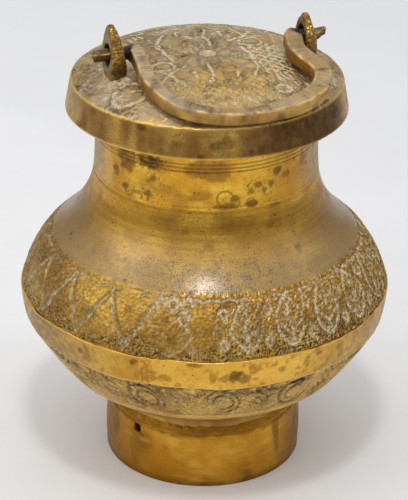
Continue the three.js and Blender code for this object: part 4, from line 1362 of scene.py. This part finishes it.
def leaf_outline(rise, crown):
    """The lug's outer line about the pivot, from the foot up one side and down the other."""
    low = -PIVOT_RISE - LUG_SINK
    wide, base = LUG_HALF, LUG_BASE_HALF
    half = np.vstack([
        cubic([(base, low), (base, low / 2), (wide, -wide), (wide, 0)], 60),
        cubic([(wide, 0), (wide, wide / 2), (wide * crown, rise), (0, rise)], 60),
    ])
    other = np.vstack([half[1:], [(0, rise)]])[::-1] * (-1, 1)
    foot = np.column_stack([np.linspace(-base, base, 24)[:-1], np.full(23, low)])
    return np.vstack([half, other, foot])


def rounded_bar(steps, power):
    """A rounded square of half size 1: cosine and sine, each drawn towards 1 by a power."""
    t = np.arange(steps) / steps * TURN
    return [np.sign(f(t)) * np.abs(f(t)) ** power for f in (np.cos, np.sin)]


print("the pivot stands", round(PIVOT[2] - float(dome(0)), 2), "mm over the lid's top")

# %% Lugs
def make_lug(name, node, side, form):
    """Section points run between the hole and the leaf's line, and across the thickness.

    The leaf then turns a little about its upright line and leans by a share of its height, as
    the pair on such a hand-made lid does. Both leave the middle of its hole nearly in place."""
    line = leaf_outline(form["rise"], form["crown"])
    reach = np.hypot(*line.T)[:, None]
    heading = line / reach
    along, across = rounded_bar(36, 0.6)
    share = (along + 1) / 2
    distance = form["hole"] + (reach - form["hole"]) * share
    y, z = heading[:, :1] * distance, heading[:, 1:] * distance
    taper = 1 - LUG_TAPER * np.clip((z + HOLE) / (form["rise"] + HOLE), 0, 1)
    x = form["thickness"] / 2 * taper * across
    turn = np.radians(form["turn"])
    x, y = x * np.cos(turn) - y * np.sin(turn), x * np.sin(turn) + y * np.cos(turn)
    x = x + form["shift"] - form["lean"] * (z + PIVOT_RISE)
    place = np.stack([side * LUG_PLACE + x, y - LUG_OFFSET, z + PIVOT[2]], axis=-1)
    seed = form["seed"]
    edge = ease(share, 0.8, 0.97)
    dents = 0.08 * noise(place, 2.0, seed) + 0.06 * noise(place, 0.45, seed + 1)
    nick = 0.1 * patchy(place, 0.5, seed + 4, 0.0, 0.6) * edge
    place[..., 0] += dents * across
    place[..., 1] += (dents * share - nick) * heading[:, :1]
    place[..., 2] += (dents * share - nick) * heading[:, 1:]
    wide = ease(np.abs(across), 0.95, 0.7)
    # Painted shade inside the drilled hole, so that it reads dark.
    hole_shade = ease(share, 0.2, 0.04) * 1.3
    # Darker low down on the face turned inward, and at the foot of the lug.
    inner_face = 0.5 * ease(-side * across, -0.2, 0.7) * ease(z, 0, -3)
    masks = {
        "worn": edge * patchy(place, 0.3, seed + 5, 0.1, 0.6) * (0.3 + 0.7 * ease(z, -2, 2)),
        "cut": most(hole_shade, 0.6 * ease(z, -4.0, -5.0)) + inner_face,
        "stain": patchy(place, 1.6, seed + 6, 0.1, 0.7) * 0.6,
        "film": (1 - edge * wide) * 0.7,
        "brown": edge * (0.4 + 0.6 * ease(z, 1.0, -3.5)),
        "punch": 0.5 * edge,
    }
    stand_for(skin(name, place, masks), node, LUG_BRASS)


make_lug("left_lug", "lug_left", -1, {"rise": 6.3, "crown": 0.7, "thickness": 3.6, "hole": 2.0,
                                      "turn": 2, "shift": -0.1, "lean": 0.07, "seed": 91})
make_lug("right_lug", "lug_right", 1, {"rise": 4.8, "crown": 0.4, "thickness": 2.9, "hole": 2.05,
                                       "turn": 1, "shift": -0.3, "lean": 0.05, "seed": 101})

# %% [markdown]
# ## Bail
#
# The bail is one forged bar: two straight tangs through the lugs, an elbow each, and a flat bow
# that rests on the lid. A rounded bar section is carried along that line.

# %% Line of the bail
DROOP = np.radians(13.288)
BAR_HEIGHT, TANG_HALF, TANG_HEIGHT, FRONT_HALF = 3.0, 1.1, 1.8, 1.1
LEFT_TIP, RIGHT_TIP = -25.2, 24.4
LEFT_HALF, RIGHT_HALF = 1.4, 1.85
BOW = [
    (-16.3, -1.9), (-16.4, -5.0), (-16.6, -11.2), (-12.4, -20.9), (0, -25.3),
    (14.7, -20.6), (18.3, -14.2), (15.9, -5.7), (16.45, -2.3),
]
LEFT_ELBOW, RIGHT_ELBOW = (-16.3, 0.0), (16.45, 0.0)


def leaning(p, q, r, first, second):
    """How fast a line through three points moves at the middle one, given its two gaps."""
    return (q - p) / first - (r - p) / (first + second) + (r - q) / second


def spline(points, steps):
    """A smooth line through points, each span a cubic whose ends lean with the neighbours."""
    p = np.array(points, float)
    p = np.vstack([2 * p[0] - p[1], p, 2 * p[-1] - p[-2]])
    gap = np.sqrt(np.hypot(*np.diff(p, axis=0).T))
    t = np.linspace(0, 1, steps, endpoint=False)[:, None]
    stay, reach = 2 * t**3 - 3 * t**2 + 1, 3 * t**2 - 2 * t**3
    start, end = t**3 - 2 * t**2 + t, t**3 - t**2
    spans = []
    for i in range(1, len(p) - 2):
        before, here, after = gap[i - 1 : i + 2]
        lean = leaning(*p[i - 1 : i + 2], before, here) * here
        fall = leaning(*p[i : i + 3], here, after) * here
        spans.append(stay * p[i] + start * lean + reach * p[i + 1] + end * fall)
    return np.vstack(spans + [p[-2:-1]])


def bail_line():
    """Tang, elbow, bow, elbow and tang, as one evenly spaced line in the bail's plane."""
    bow = spline(BOW, 40)
    left = curve((LEFT_ELBOW[0] - 1.9, 0), BOW[0], (1, 0), 12)
    right = curve(BOW[-1], (RIGHT_ELBOW[0] + 2.3, 0), (0, 1), 12)
    line = np.vstack([[(LEFT_TIP, 0)], left[:-1], bow, right[1:], [(RIGHT_TIP, 0)]])
    return evenly(line, 0.14, (0, 0))[:, :2]


print("the bail's bar is", round(length_of(bail_line())), "mm long")

# %% Bail
def make_bail():
    """The section is carried along the line, and closed at both tips by shrinking to nothing."""
    line = bail_line()
    along = np.gradient(line, axis=0)
    along /= np.hypot(*along.T)[:, None]
    side = np.column_stack([-along[:, 1], along[:, 0]])
    x, y = line.T
    tang = ease(np.abs(x), 17.2, 18.6) * ease(y, -3.0, -0.5)
    side_half = np.where(x < 0, LEFT_HALF, RIGHT_HALF)
    bow_half = FRONT_HALF + (side_half - FRONT_HALF) * ease(np.abs(x), 0, 13)
    half = bow_half + (TANG_HALF - bow_half) * tang
    high = (BAR_HEIGHT + (TANG_HEIGHT - BAR_HEIGHT) * tang) / 2
    wedge = ease(x, 21.6, RIGHT_TIP)
    half = half * (1 - 0.66 * wedge)
    shift = 0.75 * wedge
    run = np.r_[0, np.cumsum(np.hypot(*np.diff(line, axis=0).T))]
    end = least(run, run[-1] - run)
    close = np.sqrt(np.clip(1 - (1 - np.clip(end / 0.35, 0, 1)) ** 2, 0, 1))
    small = (0.45 + 0.55 * close) * (end > 0)
    across, up = rounded_bar(36, 0.28)
    flat = line[:, None] + side[:, None] * (half * small)[:, None, None] * across[:, None]
    flat[..., 1] += shift[:, None]
    level = (high * small)[:, None] * up
    place = np.stack([flat[..., 0], flat[..., 1], level], axis=-1)
    dents = np.stack([noise(place, 2.4, 111 + k) for k in range(3)], axis=-1)
    strokes = np.stack(np.broadcast_arrays(run[:, None], 0.35 * across, 0.35 * up), axis=-1)
    files = noise(strokes, 0.36, 115) * patchy(place, 4.0, 116, -0.7, 0.1)
    moved = 0.12 * dents
    moved[..., 2] += 0.05 * files * np.sign(up)
    place = place + moved * (end > 0)[:, None, None]
    c, s = np.cos(DROOP), np.sin(DROOP)
    y, z = place[..., 1], place[..., 2]
    world = np.stack([place[..., 0], y * c - z * s + PIVOT[1], y * s + z * c + PIVOT[2]], axis=-1)
    edge, top = ease(np.abs(up * across), 0.62, 0.9), ease(up, 0.5, 0.9)
    # Painted shadow in the gap between the lug and the elbow: dark, and browner.
    gap_shadow = (ease(np.abs(x), 16.7, 17.5) * ease(line[:, 1], -2.6, -0.6))[:, None]
    dark = 1 - ease(np.abs(x), 18.6, 19.6)[:, None] * (0.3 + 0.6 * ease(up, -0.4, 0.2))
    # Painted light: the left arm's top is painted lighter.
    grey = 0.5 + 0.3 * patchy(world, 3.0, 124, -0.4, 0.5) + 0.25 * ease(x, -6, -12)[:, None]
    masks = {
        "worn": (edge * patchy(world, 1.2, 121, -0.2, 0.5) + 0.15 * ease(files, 0.1, 0.7)) * top,
        "stain": most(patchy(world, 2.0, 122, 0.15, 0.8) * 0.6, 0.8 * gap_shadow),
        # The bar's underside is darkened with painted shade.
        "cut": ease(files, -0.1, -0.7) * 0.4 * top + ease(up, -0.5, -0.9) * 0.5 + gap_shadow * dark,
        "chalk": top * patchy(world, 1.1, 123, 0.2, 0.7) * 0.3,
        "film": top * grey,
        "brown": (1 - top) * patchy(world, 2.6, 125, -0.5, 0.5) * 0.6 + 0.5 * gap_shadow,
        "punch": 0.4 * (1 - top) * patchy(world, 2.0, 126, -0.1, 0.4),
    }
    stand_for(skin("forged_bail", world, masks, closed=False), "bail", BAIL_BRASS)


make_bail()

# %% [markdown]
# ## Studio
#
# A pale floor that runs out far behind the pot, a pale sky, and three lamps: a small one high in
# front for the bright patch on the shoulder, and a broad one at each side.

# %% Floor and light
FLOOR_SIZE = 4.0
FLOOR_TONE = paint(253, 254, 255)


def make_floor():
    mesh = bpy.data.meshes.new("floor")
    s = FLOOR_SIZE / 2
    mesh.from_pydata([(-s, -s, 0), (s, -s, 0), (s, s, 0), (-s, s, 0)], [], [(0, 1, 2, 3)])
    floor = bpy.data.objects.new("floor", mesh)
    bpy.context.scene.collection.objects.link(floor)
    material, bench, shader = new_material("pale floor")
    cloth = bench.group(PATCHES, {"Size": 0.08, "Low": 0.3, "High": 0.7, "Seed": 3.0})
    across = bench.put("SeparateXYZ", {0: bench.put("TexCoord").outputs["Object"]})
    # Painted shade on the floor: it gets darker towards the back and the right.
    far = bench.ramp(bench.plus(across.outputs[0], across.outputs[1]), -0.2, 0.5)
    tone = bench.mix(far, FLOOR_TONE, paint(234, 236, 240))
    tone = bench.mix(bench.times(cloth, 0.5), tone, paint(228, 229, 233))
    bench.feed(shader["Base Color"], tone)
    shader["Roughness"].default_value = 0.7
    mesh.materials.append(material)
    return floor


def make_world():
    """A pale sky that is darker near the horizon, as a room is round a bright table."""
    world = bpy.data.worlds.new("room")
    bpy.context.scene.world = world
    world.use_nodes = True
    bench = Bench(world.node_tree)
    back = world.node_tree.nodes["Background"]
    up = bench.put("SeparateXYZ", {0: bench.put("TexCoord").outputs["Generated"]}).outputs[2]
    sky = bench.mix(bench.ramp(up, 0.0, 0.6), paint(100, 97, 94), paint(238, 237, 236))
    bench.feed(back.inputs["Color"], sky)
    back.inputs["Strength"].default_value = 0.96


def make_lamp(name, turn, rise, distance, size, power):
    """A square lamp at an angle from the pot's front, turned to face the pot's middle."""
    lamp = bpy.data.lights.new(name, "AREA")
    lamp.size, lamp.energy = size, power
    turn, rise = np.radians(turn), np.radians(rise)
    away = Vector((np.sin(turn) * np.cos(rise), -np.cos(turn) * np.cos(rise), np.sin(rise)))
    target = Vector((0, 0, 0.05))
    holder = bpy.data.objects.new(name, lamp)
    facing = away.to_track_quat("Z", "Y").to_matrix().to_4x4()
    holder.matrix_world = Matrix.Translation(target + away * distance) @ facing
    bpy.context.scene.collection.objects.link(holder)


make_floor()
make_world()
make_lamp("overhead", -18, 67, 0.9, 0.1, 1.6)
make_lamp("left", -85, 35, 1.2, 0.8, 2.2)
make_lamp("right", 60, 30, 1.4, 0.8, 0.6)
bpy.context.scene.view_settings.view_transform = "Standard"
